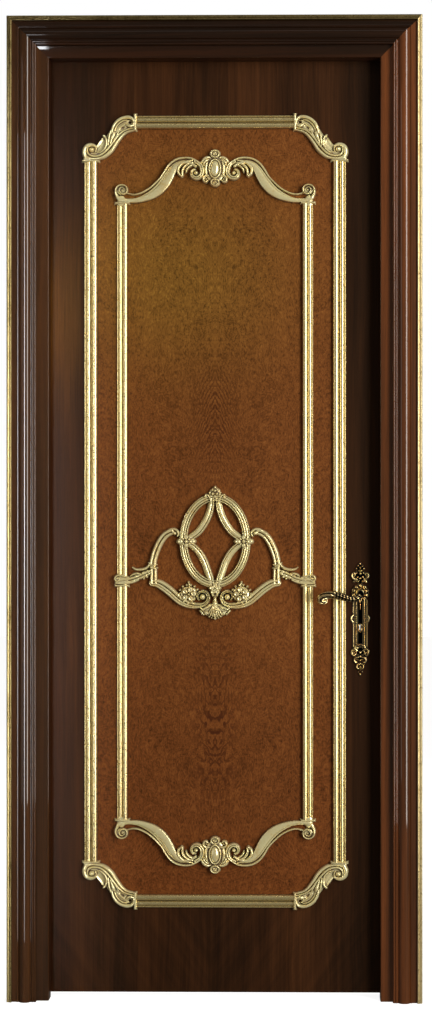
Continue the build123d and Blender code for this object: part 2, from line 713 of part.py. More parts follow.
# ---------------------------------------------------------------- lock
wall = 1.2
with BuildPart() as lock_case:
    # folded steel box round the bolts and the follower
    with BuildSketch(Plane.YZ.offset(case_in)):
        with Locations((Y(lock_mid_d), case_mid_z)):
            Rectangle(case_t, case_h)
    extrude(amount=case_w)
    with BuildSketch(Plane.YZ.offset(case_in + wall)):
        with Locations((Y(lock_mid_d), case_mid_z)):
            Rectangle(case_t - 2 * wall, case_h - 2 * wall)
    extrude(amount=case_w - 2 * wall, mode=Mode.SUBTRACT)
    # ports for the bolts in the front wall
    with BuildSketch(Plane.YZ.offset(case_in + case_w - 2 * wall)):
        with Locations((Y(lock_mid_d), latch_z)):
            Rectangle(latch_w - 2, latch_h + 1)
        with Locations((Y(lock_mid_d), dead_z)):
            Rectangle(dead_w - 1, dead_h + 1)
    extrude(amount=3 * wall, mode=Mode.SUBTRACT)
    # follower port and keyhole
    with BuildSketch(face_plane(lock_mid_d + case_t / 2 + 1)):
        with Locations((lever_x, lever_z)):
            Circle(9.5)
        with Locations((key_x, key_z)):
            SlotOverall(18.0, 6.4, rotation=90)
    extrude(amount=case_t + 2, mode=Mode.SUBTRACT)
keep(lock_case, "lock_case")

with BuildPart() as lock_forend:
    with BuildSketch(Plane.YZ.offset(leaf_half - forend_t)):
        with Locations((Y(lock_mid_d), forend_mid_z)):
            Rectangle(forend_w, forend_h)
        with Locations((Y(lock_mid_d), latch_z)):
            Rectangle(latch_w - 2, latch_h + 1, mode=Mode.SUBTRACT)
        with Locations((Y(lock_mid_d), dead_z)):
            Rectangle(dead_w - 1, dead_h + 1, mode=Mode.SUBTRACT)
        with Locations((Y(lock_mid_d), forend_mid_z - forend_h / 2 + 9), (Y(lock_mid_d), forend_mid_z + forend_h / 2 - 9)):
            Circle(2.1, mode=Mode.SUBTRACT)
    extrude(amount=forend_t)
keep(lock_forend, "lock_forend")

with BuildPart() as lock_follower:
    # square-holed hub turned by the spindle, with the toe that draws the latch
    with BuildSketch(face_plane(lock_mid_d + 5.0)):
        with Locations((lever_x, lever_z)):
            Circle(9.0)
        with Locations((lever_x, lever_z)):
            Rectangle(8.1, 8.1, mode=Mode.SUBTRACT)
    extrude(amount=10.0)
    with BuildSketch(face_plane(lock_mid_d + 3.0)):
        with Locations((lever_x, lever_z + 15.0)):
            Rectangle(6.0, 18.0)
    extrude(amount=6.0)
keep(lock_follower, "lock_follower")

latch_out = 12.0
latch_thick = latch_w - 3
with BuildPart() as latch_bolt:
    # sprung latch head with its bevel towards the closing side, and its tail
    with BuildSketch(Plane.XY.offset(latch_z - latch_h / 2)):
        with BuildLine():
            Polyline(
                (leaf_half - 16, Y(lock_mid_d - latch_thick / 2)), (leaf_half + 2, Y(lock_mid_d - latch_thick / 2)),
                (leaf_half + latch_out, Y(lock_mid_d + latch_thick / 2 - 3)), (leaf_half + latch_out, Y(lock_mid_d + latch_thick / 2)),
                (leaf_half - 16, Y(lock_mid_d + latch_thick / 2)), close=True,
            )
        make_face()
    extrude(amount=latch_h)
    # tail over the follower's toe, with the lug that the toe draws back
    with BuildSketch(Plane.YZ.offset(lever_x - 10.6)):
        with Locations((Y(lock_mid_d), latch_z + 3.0)):
            Rectangle(4.0, 6.0)
    extrude(amount=leaf_half - 15 - (lever_x - 10.6))
    with BuildSketch(Plane.YZ.offset(lever_x - 10.6)):
        with Locations((Y(lock_mid_d), latch_z - 1.5)):
            Rectangle(4.0, 15.0)
    extrude(amount=6.0)
keep(latch_bolt, "latch_bolt")

with BuildPart() as dead_bolt:
    with BuildSketch(Plane.YZ.offset(leaf_half - 40)):
        with Locations((Y(lock_mid_d), dead_z)):
            Rectangle(dead_w - 2, dead_h)
    extrude(amount=39.8)
    with BuildSketch(Plane.YZ.offset(leaf_half - 62)):
        with Locations((Y(lock_mid_d), dead_z + 8)):
            Rectangle(4.0, 12.0)
    extrude(amount=24.0)
keep(dead_bolt, "dead_bolt")

with BuildPart() as strike_plate:
    with BuildSketch(Plane.YZ.offset(rebate_face)):
        with Locations((Y(lock_mid_d), strike_mid)):
            Rectangle(strike_w, strike_z1 - strike_z0)
        with Locations((Y(lock_mid_d), latch_z)):
            Rectangle(latch_w + 2, latch_h + 4, mode=Mode.SUBTRACT)
        with Locations((Y(lock_mid_d), dead_z)):
            Rectangle(dead_w + 3, dead_h + 5, mode=Mode.SUBTRACT)
        with Locations((Y(lock_mid_d), strike_z0 + 10), (Y(lock_mid_d), strike_z1 - 10)):
            Circle(2.1, mode=Mode.SUBTRACT)
    extrude(amount=strike_thick)
keep(strike_plate, "strike_plate")

# ---------------------------------------------------------- lever furniture
plate_mid = 975.5
plate_outline = [
    (0, 1124), (-5, 1118), (-9, 1110), (-8, 1100), (-14, 1096), (-21, 1094), (-22, 1084), (-14, 1078), (-13, 1066),
    (-20, 1056), (-22, 1042), (-19, 1028), (-20, 1018), (-20, 866), (-17, 858), (-22, 848), (-22, 838), (-14, 832),
    (-8, 838), (-4, 830), (0, 827),
]


def plate_points(shift, back):
    half = [(lever_x + x, z) for x, z in plate_outline]
    other = [(lever_x - x, z) for x, z in reversed(plate_outline[1:-1])]
    pts = half + other
    return [(-x, z) for x, z in pts] if back else pts


for side, plane, sx in (("front", face_plane(leaf_front), 1), ("back", back_plane(leaf_back), -1)):
    with BuildPart() as plate:
        with BuildSketch(plane):
            with BuildLine():
                Polyline(*plate_points(0, sx == -1), close=True)
            make_face()
        extrude(amount=5.0)
        # raised boss round the spindle
        with BuildSketch(plane):
            with Locations((sx * lever_x, lever_z)):
                Circle(20.5)
        extrude(amount=9.0, taper=12)
        with BuildSketch(plane):
            with Locations((sx * lever_x, lever_z)):
                Circle(8.6)
            with Locations((sx * key_x, key_z)):
                SlotOverall(17.0, 6.0, rotation=90)
            with Locations((sx * lever_x, 1098.0), (sx * lever_x, 850.0)):
                Circle(2.3)
        extrude(amount=12.0, mode=Mode.SUBTRACT)
    keep(plate, f"handle_plate_{side}")

lever_gap = 0.4
neck_r = 8.2
for side, plane, sx in (("front", face_plane(leaf_front), 1), ("back", back_plane(leaf_back), -1)):
    lx = sx * lever_x
    with BuildPart() as lever:
        # neck through the plate, then a scrolled grip running to -X
        with BuildSketch(plane.offset(1.0)):
            with Locations((lx, lever_z)):
                Circle(neck_r)
        extrude(amount=45.0)
        with BuildSketch(plane.offset(9.6)):
            with Locations((lx, lever_z)):
                Circle(13.5)
        extrude(amount=6.0, taper=12)
        with BuildSketch(plane.offset(40.0)):
            with BuildLine():
                Polyline(
                    (lx + sx * 10, lever_z + 7), (lx + sx * 9, lever_z - 9), (lx - sx * 6, lever_z - 18.5), (lx - sx * 20, lever_z - 21.5),
                    (lx - sx * 37, lever_z - 19), (lx - sx * 52, lever_z - 15.5), (lx - sx * 65, lever_z - 12), (lx - sx * 74, lever_z - 11.5),
                    (lx - sx * 80, lever_z - 15), (lx - sx * 86, lever_z - 22.5), (lx - sx * 96, lever_z - 27), (lx - sx * 105.5, lever_z - 22.5),
                    (lx - sx * 110, lever_z - 13), (lx - sx * 104.5, lever_z - 2.5), (lx - sx * 92, lever_z + 3.8), (lx - sx * 79, lever_z + 6.5),
                    (lx - sx * 65, lever_z + 5), (lx - sx * 51, lever_z + 1.5), (lx - sx * 37, lever_z - 3), (lx - sx * 24, lever_z - 5.5),
                    (lx - sx * 14, lever_z - 1), (lx - sx * 8, lever_z + 8), close=True,
                )
            make_face()
        extrude(amount=18.0)
        fillet(lever.faces().sort_by(Axis.Y)[0 if sx == 1 else -1].edges(), 3.0)
        # square socket for the spindle
        with BuildSketch(plane.offset(0.9)):
            with Locations((lx, lever_z)):
                Rectangle(8.05, 8.05)
        extrude(amount=30.0, mode=Mode.SUBTRACT)
    keep(lever, f"lever_{side}")

with BuildPart() as spindle:
    with BuildSketch(face_plane(leaf_back + 29.0)):
        with Locations((lever_x, lever_z)):
            Rectangle(8.0, 8.0)
    extrude(amount=leaf_t + 58.0)
keep(spindle, "spindle")

with BuildPart() as handle_screws:
    # through screws that clamp the two plates together
    for z in (1098.0, 850.0):
        with BuildSketch(face_plane(leaf_back + 5.0)):
            with Locations((lever_x, z)):
                Circle(2.2)
        extrude(amount=leaf_t + 10.0)
        with BuildSketch(face_plane(leaf_front - 5.0)):
            with Locations((lever_x, z)):
                Circle(3.6)
        extrude(amount=2.0, taper=20)
        with BuildSketch(back_plane(leaf_back + 5.0)):
            with Locations((-lever_x, z)):
                Circle(3.6)
        extrude(amount=2.0, taper=20)
keep(handle_screws, "handle_screws")

os.makedirs("parts", exist_ok=True)
for name, builder in parts:
    export_step(builder.part, f"parts/{name}.step")
print(len(parts), "pieces")
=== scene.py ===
import bpy
import json
import math
import numpy as np
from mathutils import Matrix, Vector

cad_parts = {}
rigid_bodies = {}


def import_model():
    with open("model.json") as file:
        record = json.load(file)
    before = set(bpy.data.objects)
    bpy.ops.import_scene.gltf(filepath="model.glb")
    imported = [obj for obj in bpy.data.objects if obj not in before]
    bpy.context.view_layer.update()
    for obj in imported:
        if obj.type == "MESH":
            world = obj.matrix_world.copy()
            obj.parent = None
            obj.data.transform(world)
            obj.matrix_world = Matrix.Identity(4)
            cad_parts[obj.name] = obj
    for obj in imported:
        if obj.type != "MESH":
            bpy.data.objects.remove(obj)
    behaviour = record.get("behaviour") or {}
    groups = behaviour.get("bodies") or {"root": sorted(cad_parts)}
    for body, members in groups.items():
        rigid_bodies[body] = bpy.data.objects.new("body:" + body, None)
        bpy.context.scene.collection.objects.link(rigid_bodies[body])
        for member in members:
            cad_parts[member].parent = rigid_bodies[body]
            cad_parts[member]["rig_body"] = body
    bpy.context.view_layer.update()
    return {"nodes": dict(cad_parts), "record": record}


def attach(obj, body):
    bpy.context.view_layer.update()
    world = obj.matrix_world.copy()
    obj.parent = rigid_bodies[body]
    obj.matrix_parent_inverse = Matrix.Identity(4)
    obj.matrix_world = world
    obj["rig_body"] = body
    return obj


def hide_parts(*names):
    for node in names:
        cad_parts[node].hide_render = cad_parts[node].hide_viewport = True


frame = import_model()
nodes = frame["nodes"]
node_body = {n: o["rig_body"] for n, o in nodes.items()}

# The frame's axes: +X right, +Y away from the viewer, +Z up, in metres.
# Reliefs are worked out in millimetres as heights over the leaf's face.
LEAF_Y = -0.0205
LEAF_BACK_Y = 0.0295
MIRROR_Z = 1251.0


def depth_y(d):
    """Row Y in metres of a depth in millimetres behind the casing's front."""
    return (d - 87.5) * 0.001


# ------------------------------------------------------------------ materials
def lin(r, g, b):
    """Linear colour of an 8-bit one."""
    out = []
    for c in (r, g, b):
        c /= 255.0
        out.append(c / 12.92 if c <= 0.04045 else ((c + 0.055) / 1.055) ** 2.4)
    return (*out, 1.0)


class Mat:
    """Small helper round a node tree."""

    def __init__(self, name):
        self.m = bpy.data.materials.new(name)
        self.m.use_nodes = True
        self.t = self.m.node_tree
        self.s = self.t.nodes["Principled BSDF"]
        tc = self.t.nodes.new("ShaderNodeTexCoord")
        self.obj = tc.outputs["Object"]

    def set(self, **values):
        for key, value in values.items():
            self.s.inputs[key.replace("_", " ")].default_value = value

    def plug(self, a, b):
        self.t.links.new(a, b)

    def put(self, node, key, value):
        socket = node.inputs[key]
        if isinstance(value, bpy.types.NodeSocket):
            self.plug(value, socket)
        else:
            socket.default_value = value

    def math(self, op, a, b=None, c=None, clamp=False):
        n = self.t.nodes.new("ShaderNodeMath")
        n.operation = op
        n.use_clamp = clamp
        self.put(n, 0, a)
        if b is not None:
            self.put(n, 1, b)
        if c is not None:
            self.put(n, 2, c)
        return n.outputs[0]

    def stretch(self, vector, scale, offset=(0, 0, 0), rotation=(0, 0, 0)):
        n = self.t.nodes.new("ShaderNodeMapping")
        self.plug(vector, n.inputs["Vector"])
        n.inputs["Location"].default_value = offset
        n.inputs["Rotation"].default_value = rotation
        n.inputs["Scale"].default_value = scale
        return n.outputs[0]

    def noise(self, vector, scale, detail=4.0, rough=0.55, distortion=0.0, color=False):
        n = self.t.nodes.new("ShaderNodeTexNoise")
        n.inputs["Scale"].default_value = scale
        n.inputs["Detail"].default_value = detail
        n.inputs["Roughness"].default_value = rough
        n.inputs["Distortion"].default_value = distortion
        self.plug(vector, n.inputs["Vector"])
        return n.outputs["Color" if color else "Fac"]

    def cells(self, vector, scale, feature="F1", smooth=None, randomness=1.0, out="Distance"):
        n = self.t.nodes.new("ShaderNodeTexVoronoi")
        n.feature = feature
        n.inputs["Scale"].default_value = scale
        n.inputs["Randomness"].default_value = randomness
        if smooth is not None and "Smoothness" in n.inputs:
            n.inputs["Smoothness"].default_value = smooth
        self.plug(vector, n.inputs["Vector"])
        return n.outputs[out]

    def waves(self, vector, scale, distortion, detail=2.0, dscale=1.0, direction="X"):
        n = self.t.nodes.new("ShaderNodeTexWave")
        n.wave_type = "BANDS"
        n.bands_direction = direction
        n.inputs["Scale"].default_value = scale
        n.inputs["Distortion"].default_value = distortion
        n.inputs["Detail"].default_value = detail
        n.inputs["Detail Scale"].default_value = dscale
        self.plug(vector, n.inputs["Vector"])
        return n.outputs["Fac"]

    def ramp(self, fac, stops, mode="LINEAR"):
        n = self.t.nodes.new("ShaderNodeValToRGB")
        r = n.color_ramp
        r.interpolation = mode
        while len(r.elements) < len(stops):
            r.elements.new(0.5)
        for e, (p, c) in zip(r.elements, stops):
            e.position = p
            e.color = c if len(c) == 4 else (*c, 1.0)
        self.plug(fac, n.inputs["Fac"])
        return n.outputs["Color"]

    def grey(self, fac, stops, mode="LINEAR"):
        return self.ramp(fac, [(p, (v, v, v, 1.0)) for p, v in stops], mode)

    def mix(self, fac, a, b, mode="MIX"):
        n = self.t.nodes.new("ShaderNodeMix")
        n.data_type = "RGBA"
        n.blend_type = mode
        self.put(n, 0, fac)
        for i, value in ((6, a), (7, b)):
            self.put(n, i, value)
        return n.outputs[2]

    def split(self, vector):
        n = self.t.nodes.new("ShaderNodeSeparateXYZ")
        self.plug(vector, n.inputs[0])
        return n.outputs[0], n.outputs[1], n.outputs[2]

    def join(self, x, y, z):
        n = self.t.nodes.new("ShaderNodeCombineXYZ")
        for i, value in enumerate((x, y, z)):
            self.put(n, i, value)
        return n.outputs[0]

    def add(self, a, b):
        n = self.t.nodes.new("ShaderNodeVectorMath")
        n.operation = "ADD"
        self.put(n, 0, a)
        self.put(n, 1, b)
        return n.outputs[0]

    def scaled(self, a, k):
        n = self.t.nodes.new("ShaderNodeVectorMath")
        n.operation = "SCALE"
        self.put(n, 0, a)
        n.inputs["Scale"].default_value = k
        return n.outputs[0]

    def attribute(self, name):
        n = self.t.nodes.new("ShaderNodeAttribute")
        n.attribute_type = "GEOMETRY"
        n.attribute_name = name
        return n.outputs["Fac"]

    def bump(self, height, distance, strength=1.0, normal=None):
        n = self.t.nodes.new("ShaderNodeBump")
        n.inputs["Strength"].default_value = strength
        n.inputs["Distance"].default_value = distance
        self.plug(height, n.inputs["Height"])
        if normal is not None:
            self.plug(normal, n.inputs["Normal"])
        return n.outputs["Normal"]

    def spot(self, x, z, cx, cz, rx, rz):
        """A soft patch, 1 in its middle and 0 outside."""
        a = self.math("MULTIPLY", self.math("SUBTRACT", x, cx), 1.0 / rx)
        b = self.math("MULTIPLY", self.math("SUBTRACT", z, cz), 1.0 / rz)
        d = self.math("ADD", self.math("MULTIPLY", a, a), self.math("MULTIPLY", b, b))
        return self.math("EXPONENT", self.math("MULTIPLY", d, -1.0))


def lacquered_wood(name, stops, along="Z", grain=1.0, flame=0.0, shift=(0, 0, 0), coat=0.7, coat_rough=0.09):
    """Straight-grained stained walnut under a clear finish. The grain runs
    along the given axis."""
    k = Mat(name)
    x, y, z = k.split(k.obj)
    if along == "X":
        x, z = z, x
    xy = k.math("ADD", x, k.math("MULTIPLY", y, 0.9))
    base = k.join(k.math("ADD", xy, shift[0]), k.math("ADD", y, shift[1]), k.math("ADD", z, shift[2]))
    drift = k.noise(k.stretch(base, (1.6, 1.0, 0.55)), 1.0, 3.0, color=True)
    bent = k.add(base, k.scaled(drift, 0.055))
    broad = k.noise(k.stretch(bent, (9.0, 4.0, 0.5)), 1.0, 3.0, 0.5)
    streaks = k.noise(k.stretch(bent, (46.0 * grain, 20.0, 1.1)), 1.0, 5.0, 0.6, 0.4)
    lines = k.noise(k.stretch(bent, (210.0 * grain, 90.0, 2.6)), 1.0, 4.0, 0.65)
    pores = k.noise(k.stretch(base, (900.0, 500.0, 26.0)), 1.0, 2.0, 0.7)
    tone = k.math("MULTIPLY_ADD", broad, 0.42, k.math("MULTIPLY_ADD", streaks, 0.36, k.math("MULTIPLY", lines, 0.22)))
    if flame:
        ripple = k.noise(k.stretch(bent, (16.0, 8.0, 7.0)), 1.0, 4.0, 0.6, 1.2)
        tone = k.math("MULTIPLY_ADD", k.math("SUBTRACT", ripple, 0.5), flame, tone)
    colour = k.ramp(tone, stops)
    pore = k.grey(pores, [(0.30, 0.45), (0.46, 1.0)])
    colour = k.mix(0.55, colour, pore, "MULTIPLY")
    k.plug(colour, k.s.inputs["Base Color"])
    rough = k.grey(streaks, [(0.2, 0.36), (0.8, 0.52)])
    k.plug(rough, k.s.inputs["Roughness"])
    k.plug(k.bump(pores, 0.00012, 0.35), k.s.inputs["Normal"])
    k.set(Coat_Weight=coat, Coat_Roughness=coat_rough, IOR=1.45, Specular_IOR_Level=0.10, Specular_Tint=(1.0, 0.80, 0.58, 1.0))
    return k.m


casing_stops = [(0.30, lin(22, 10, 3)), (0.46, lin(56, 31, 11)), (0.58, lin(78, 44, 15)), (0.74, lin(102, 58, 21))]
casing_mat = lacquered_wood("casing_lacquer", casing_stops, "Z", shift=(0.3, 0, 0.2), coat=0.9, coat_rough=0.03)
# painted light: a brighter, redder copy of the casing lacquer for the right casing, which catches the key light
right_painted_light_stops = [(0.30, lin(32, 17, 8)), (0.46, lin(84, 46, 22)), (0.58, lin(114, 62, 29)), (0.74, lin(146, 80, 38))]
casing_right_painted_light_mat = lacquered_wood("casing_lacquer_right_painted_light", right_painted_light_stops, "Z", shift=(0.6, 0, 0.9), coat=0.9, coat_rough=0.04)
# painted shade: a darker copy of the casing lacquer for the head, which gets less light
head_painted_shade_stops = [(0.30, lin(12, 5, 2)), (0.46, lin(32, 15, 5)), (0.58, lin(48, 23, 8)), (0.74, lin(66, 33, 12))]
casing_head_painted_shade_mat = lacquered_wood("casing_lacquer_head_painted_shade", head_painted_shade_stops, "X", shift=(0.7, 0, 0.1), coat=0.7, coat_rough=0.05)
lining_stops = [(0.30, lin(22, 11, 7)), (0.5, lin(52, 28, 16)), (0.74, lin(84, 47, 26))]
lining_mat = lacquered_wood("lining_walnut", lining_stops, "Z", shift=(0.9, 0, 0.5), coat=0.5, coat_rough=0.14)
lining_head_mat = lacquered_wood("lining_walnut_head", lining_stops, "X", shift=(0.5, 0, 0.4), coat=0.5, coat_rough=0.14)


def leaf_material():
    """Crown-cut walnut on the leaf: long flames that close towards the foot
    and the head, and painted shadow: dark bands beside the edges, where the casings shade the leaf."""
    k = Mat("leaf_walnut")
    x, y, z = k.split(k.obj)
    base = k.join(k.math("ADD", x, k.math("MULTIPLY", y, 0.8)), y, z)
    drift = k.noise(k.stretch(base, (2.2, 1.0, 0.8)), 1.0, 4.0, color=True)
    bent = k.add(base, k.scaled(drift, 0.06))
    bx, by, bz = k.split(bent)
    # crown figure: parabolas about the middle, near the foot
    low = k.math("SUBTRACT", k.math("MULTIPLY", bz, 0.42), k.math("MULTIPLY", k.math("ABSOLUTE", bx), 0.62))
    arches = k.noise(k.join(k.math("MULTIPLY", low, 46.0), k.math("MULTIPLY", bx, 2.0), 0.0), 1.0, 4.0, 0.6)
    foot = k.grey(z, [(0.16, 1.0), (0.40, 0.0)])
    broad = k.noise(k.stretch(bent, (7.0, 3.0, 0.55)), 1.0, 3.0, 0.5)
    streaks = k.noise(k.stretch(bent, (52.0, 20.0, 1.5)), 1.0, 5.0, 0.62, 0.5)
    lines = k.noise(k.stretch(bent, (230.0, 80.0, 4.0)), 1.0, 4.0, 0.65)
    pores = k.noise(k.stretch(base, (900.0, 500.0, 30.0)), 1.0, 2.0, 0.7)
    tone = k.math("MULTIPLY_ADD", broad, 0.40, k.math("MULTIPLY_ADD", streaks, 0.30, k.math("MULTIPLY", lines, 0.20)))
    tone = k.math("MULTIPLY_ADD", k.math("MULTIPLY", k.math("SUBTRACT", arches, 0.5), foot), 0.22, k.math("ADD", tone, 0.05))
    colour = k.ramp(tone, [(0.34, lin(26, 13, 7)), (0.46, lin(51, 28, 13)), (0.55, lin(69, 39, 19)), (0.70, lin(95, 56, 28))])
    # painted shadow: the leaf goes dark beyond x = 0.30, where the right casing shades it; the whole leaf is also
    # darker towards the foot
    edge = k.grey(k.math("ADD", x, k.math("MULTIPLY", k.math("SUBTRACT", broad, 0.5), 0.05)), [(0.30, 1.0), (0.36, 0.55), (0.42, 0.5)])
    lower = k.grey(z, [(0.10, 0.78), (0.5, 1.0)])
    edge = k.math("MULTIPLY", edge, lower)
    colour = k.mix(1.0, colour, edge, "MULTIPLY")
    pore = k.grey(pores, [(0.30, 0.5), (0.46, 1.0)])
    colour = k.mix(0.5, colour, pore, "MULTIPLY")
    # painted sheen: an olive-gold patch high on the left, standing in for a soft reflection
    painted_sheen = k.spot(x, z, -0.40, 1.79, 0.06, 0.20)
    colour = k.mix(painted_sheen, colour, k.mix(1.0, colour, (2.7, 3.4, 1.5, 1.0), "MULTIPLY"))
    # painted shade: a dark patch in the top left corner, under the head
    deep = k.math("MULTIPLY", k.spot(x, z, -0.44, 2.28, 0.18, 0.30), 0.75)
    colour = k.mix(deep, colour, k.mix(1.0, colour, (0.30, 0.28, 0.26, 1.0), "MULTIPLY"))
    # painted shadow: a darker, browner strip along the left edge, beside the left casing
    side = k.grey(k.math("ADD", x, 0.5), [(0.10, 1.0), (0.17, 0.0)])
    colour = k.mix(side, colour, k.mix(1.0, colour, (0.80, 0.66, 0.50, 1.0), "MULTIPLY"))
    k.plug(colour, k.s.inputs["Base Color"])
    k.plug(k.grey(streaks, [(0.2, 0.40), (0.8, 0.55)]), k.s.inputs["Roughness"])
    k.plug(k.bump(pores, 0.0001, 0.3), k.s.inputs["Normal"])
    k.set(Coat_Weight=0.06, Coat_Roughness=0.25, IOR=1.45, Specular_IOR_Level=0.16, Specular_Tint=(1.0, 0.80, 0.58, 1.0))
    return k.m


leaf_mat = leaf_material()


def burr_material():
    """Book-matched burr veneer: the pattern is mirrored about the middle."""
    k = Mat("field_burr")
    x, y, z = k.split(k.obj)
    ax = k.math("ABSOLUTE", x)
    matched = k.join(ax, y, z)
    drift = k.noise(k.stretch(matched, (5.0, 1.0, 2.4)), 1.0, 4.0, 0.55, color=True)
    bent = k.add(matched, k.scaled(drift, 0.07))
    clouds = k.noise(k.stretch(bent, (6.5, 1.0, 2.6)), 1.0, 4.0, 0.5, 0.5)
    curls = k.noise(k.stretch(bent, (58.0, 1.0, 34.0)), 1.0, 6.0, 0.64, 1.8)
    fine = k.noise(k.stretch(bent, (300.0, 1.0, 130.0)), 1.0, 4.0, 0.62)
    eyes = k.cells(k.stretch(bent, (1.0, 0.2, 0.62)), 150.0, "SMOOTH_F1", 0.5)
    # the growth lines wander in small closed curls
    hills = k.noise(k.stretch(matched, (7.0, 1.0, 6.0), (0.0, 0.0, 0.37)), 1.0, 5.0, 0.52, 0.9)
    growth = k.math("SINE", k.math("MULTIPLY", hills, 270.0))
    tone = k.math("MULTIPLY_ADD", clouds, 0.12, k.math("MULTIPLY_ADD", curls, 0.30, k.math("MULTIPLY_ADD", fine, 0.32, 0.13)))
    tone = k.math("MULTIPLY_ADD", growth, 0.026, tone)
    colour = k.ramp(tone, [(0.38, lin(62, 32, 13)), (0.47, lin(106, 60, 26)), (0.54, lin(126, 73, 33)), (0.64, lin(152, 96, 46))])
    speck = k.grey(eyes, [(0.06, 0.60), (0.26, 1.0)])
    colour = k.mix(0.42, colour, speck, "MULTIPLY")
    # dark flame figure down the middle joint: nested arrowheads above the
    # carving, long lens shapes below it
    wobble = k.math("MULTIPLY_ADD", hills, 0.10, k.math("MULTIPLY", curls, 0.045))
    arrow = k.math("SUBTRACT", k.math("SUBTRACT", 1.727, z), k.math("MULTIPLY", ax, 2.3))
    arrow = k.math("SINE", k.math("MULTIPLY", k.math("ADD", arrow, wobble), 330.0))
    tongues = k.noise(k.stretch(matched, (24.0, 1.0, 8.5), (0.4, 0.0, 2.2)), 1.0, 4.0, 0.5, 0.8)
    lens = k.math("SINE", k.math("MULTIPLY_ADD", ax, 60.0, k.math("MULTIPLY", tongues, 62.0)))
    upper = k.spot(ax, z, 0.0, 1.49, 0.056, 0.15)
    lower = k.spot(ax, z, 0.0, 0.70, 0.054, 0.23)
    dark = k.math("ADD", k.math("MULTIPLY", k.grey(arrow, [(0.1, 0.0), (0.9, 1.0)]), upper), k.math("MULTIPLY", k.grey(lens, [(0.1, 0.0), (0.9, 1.0)]), lower))
    dark = k.math("MULTIPLY", dark, k.grey(curls, [(0.38, 0.7), (0.56, 1.2)]), clamp=True)
    colour = k.mix(k.math("MULTIPLY", dark, 0.80), colour, lin(62, 25, 12))
    # redder and darker towards the foot; painted sheen: an olive-gold patch high on the left, standing in for a soft
    # reflection
    foot = k.grey(z, [(0.3, 1.0), (1.6, 0.0)])
    colour = k.mix(k.math("MULTIPLY", foot, 0.5), colour, k.mix(1.0, colour, (0.92, 0.80, 0.80, 1.0), "MULTIPLY"))
    painted_sheen = k.spot(x, z, -0.11, 1.87, 0.28, 0.24)
    colour = k.mix(painted_sheen, colour, k.mix(1.0, colour, (1.34, 1.95, 1.35, 1.0), "MULTIPLY"))
    k.plug(colour, k.s.inputs["Base Color"])
    k.plug(k.grey(curls, [(0.3, 0.40), (0.7, 0.56)]), k.s.inputs["Roughness"])
    k.plug(k.bump(fine, 0.00008, 0.3), k.s.inputs["Normal"])
    k.set(Coat_Weight=0.06, Coat_Roughness=0.28, IOR=1.45, Specular_IOR_Level=0.16, Specular_Tint=(1.0, 0.80, 0.58, 1.0))
    return k.m


burr_mat = burr_material()


def gilt_material(name, light, deep, speck=0.25, rough=(0.20, 0.34), metal=1.0, scale=1.0, glazed=(0.20, 0.46, 0.88), ground=lin(84, 50, 15), rub=0.00008, patchy=0.85):
    """Gold leaf over a toned ground: laps and thin places let the ground
    show, and a brown glaze stays in the hollows."""
    k = Mat(name)
    p = k.obj
    patches = k.noise(p, 26.0 * scale, 4.0, 0.6, 0.6)
    mottle = k.noise(p, 170.0 * scale, 5.0, 0.68, 0.4)
    grains = k.noise(p, 620.0 * scale, 3.0, 0.7)
    laps = k.noise(k.stretch(p, (40.0, 40.0, 7.0)), 1.0, 2.0, 0.5)
    tone = k.math("MULTIPLY_ADD", patches, 0.35, k.math("MULTIPLY_ADD", mottle, 0.45, k.math("MULTIPLY", laps, 0.20)))
    colour = k.ramp(tone, [(0.34, deep), (0.50, light), (0.66, tuple(min(1.0, c * 1.10) for c in light[:3]) + (1.0,))])
    worn = k.grey(k.math("MULTIPLY_ADD", grains, 0.55, k.math("MULTIPLY", mottle, 0.45)), [(0.36, 1.0), (0.44, 0.0)])
    colour = k.mix(k.math("MULTIPLY", worn, speck), colour, lin(104, 66, 26))
    hollow = k.attribute("relief")
    glaze = k.grey(hollow, [(glazed[0], 1.0), (glazed[1], 0.0)])
    glaze = k.math("MULTIPLY", glaze, k.grey(mottle, [(0.3, patchy), (0.6, 1.0)]))
    colour = k.mix(k.math("MULTIPLY", glaze, glazed[2]), colour, ground)
    k.plug(colour, k.s.inputs["Base Color"])
    shine = k.math("MULTIPLY_ADD", glaze, 0.22, k.grey(mottle, [(0.3, rough[0]), (0.7, rough[1])]))
    k.plug(shine, k.s.inputs["Roughness"])
    height = k.math("MULTIPLY_ADD", mottle, 0.7, k.math("MULTIPLY", grains, 0.3))
    k.plug(k.bump(height, rub, 0.35), k.s.inputs["Normal"])
    k.plug(k.grey(glaze, [(0.0, metal), (1.0, metal * 0.45)]), k.s.inputs["Metallic"])
    return k.m


gilt_carving_mat = gilt_material("gilt_carving", lin(255, 242, 186), lin(248, 216, 140), 0.02, (0.17, 0.20), metal=0.46, glazed=(0.27, 0.49, 1.0), ground=lin(74, 40, 8))
gilt_bar_mat = gilt_material("gilt_moulding", lin(248, 228, 168), lin(238, 214, 150), 0.0, (0.265, 0.29), metal=0.90, glazed=(0.24, 0.49, 0.97), ground=lin(58, 43, 14), rub=0.000002, patchy=1.0)
gilt_edge_mat = gilt_material("gilt_edge", lin(244, 224, 170), lin(196, 168, 108), 0.28, (0.26, 0.34), metal=0.8, glazed=(0.10, 0.36, 0.6))
# painted shade: a darker copy of the gilt edge finish, for the left and head edges
gilt_edge_painted_shade_mat = gilt_material("gilt_edge_painted_shade", lin(156, 138, 92), lin(92, 75, 38), 0.42, (0.26, 0.34), glazed=(0.10, 0.40, 0.7))
for shiny in (gilt_carving_mat,):
    finish = shiny.node_tree.nodes["Principled BSDF"].inputs
    finish["Coat Weight"].default_value = 0.75
    finish["Coat Roughness"].default_value = 0.09


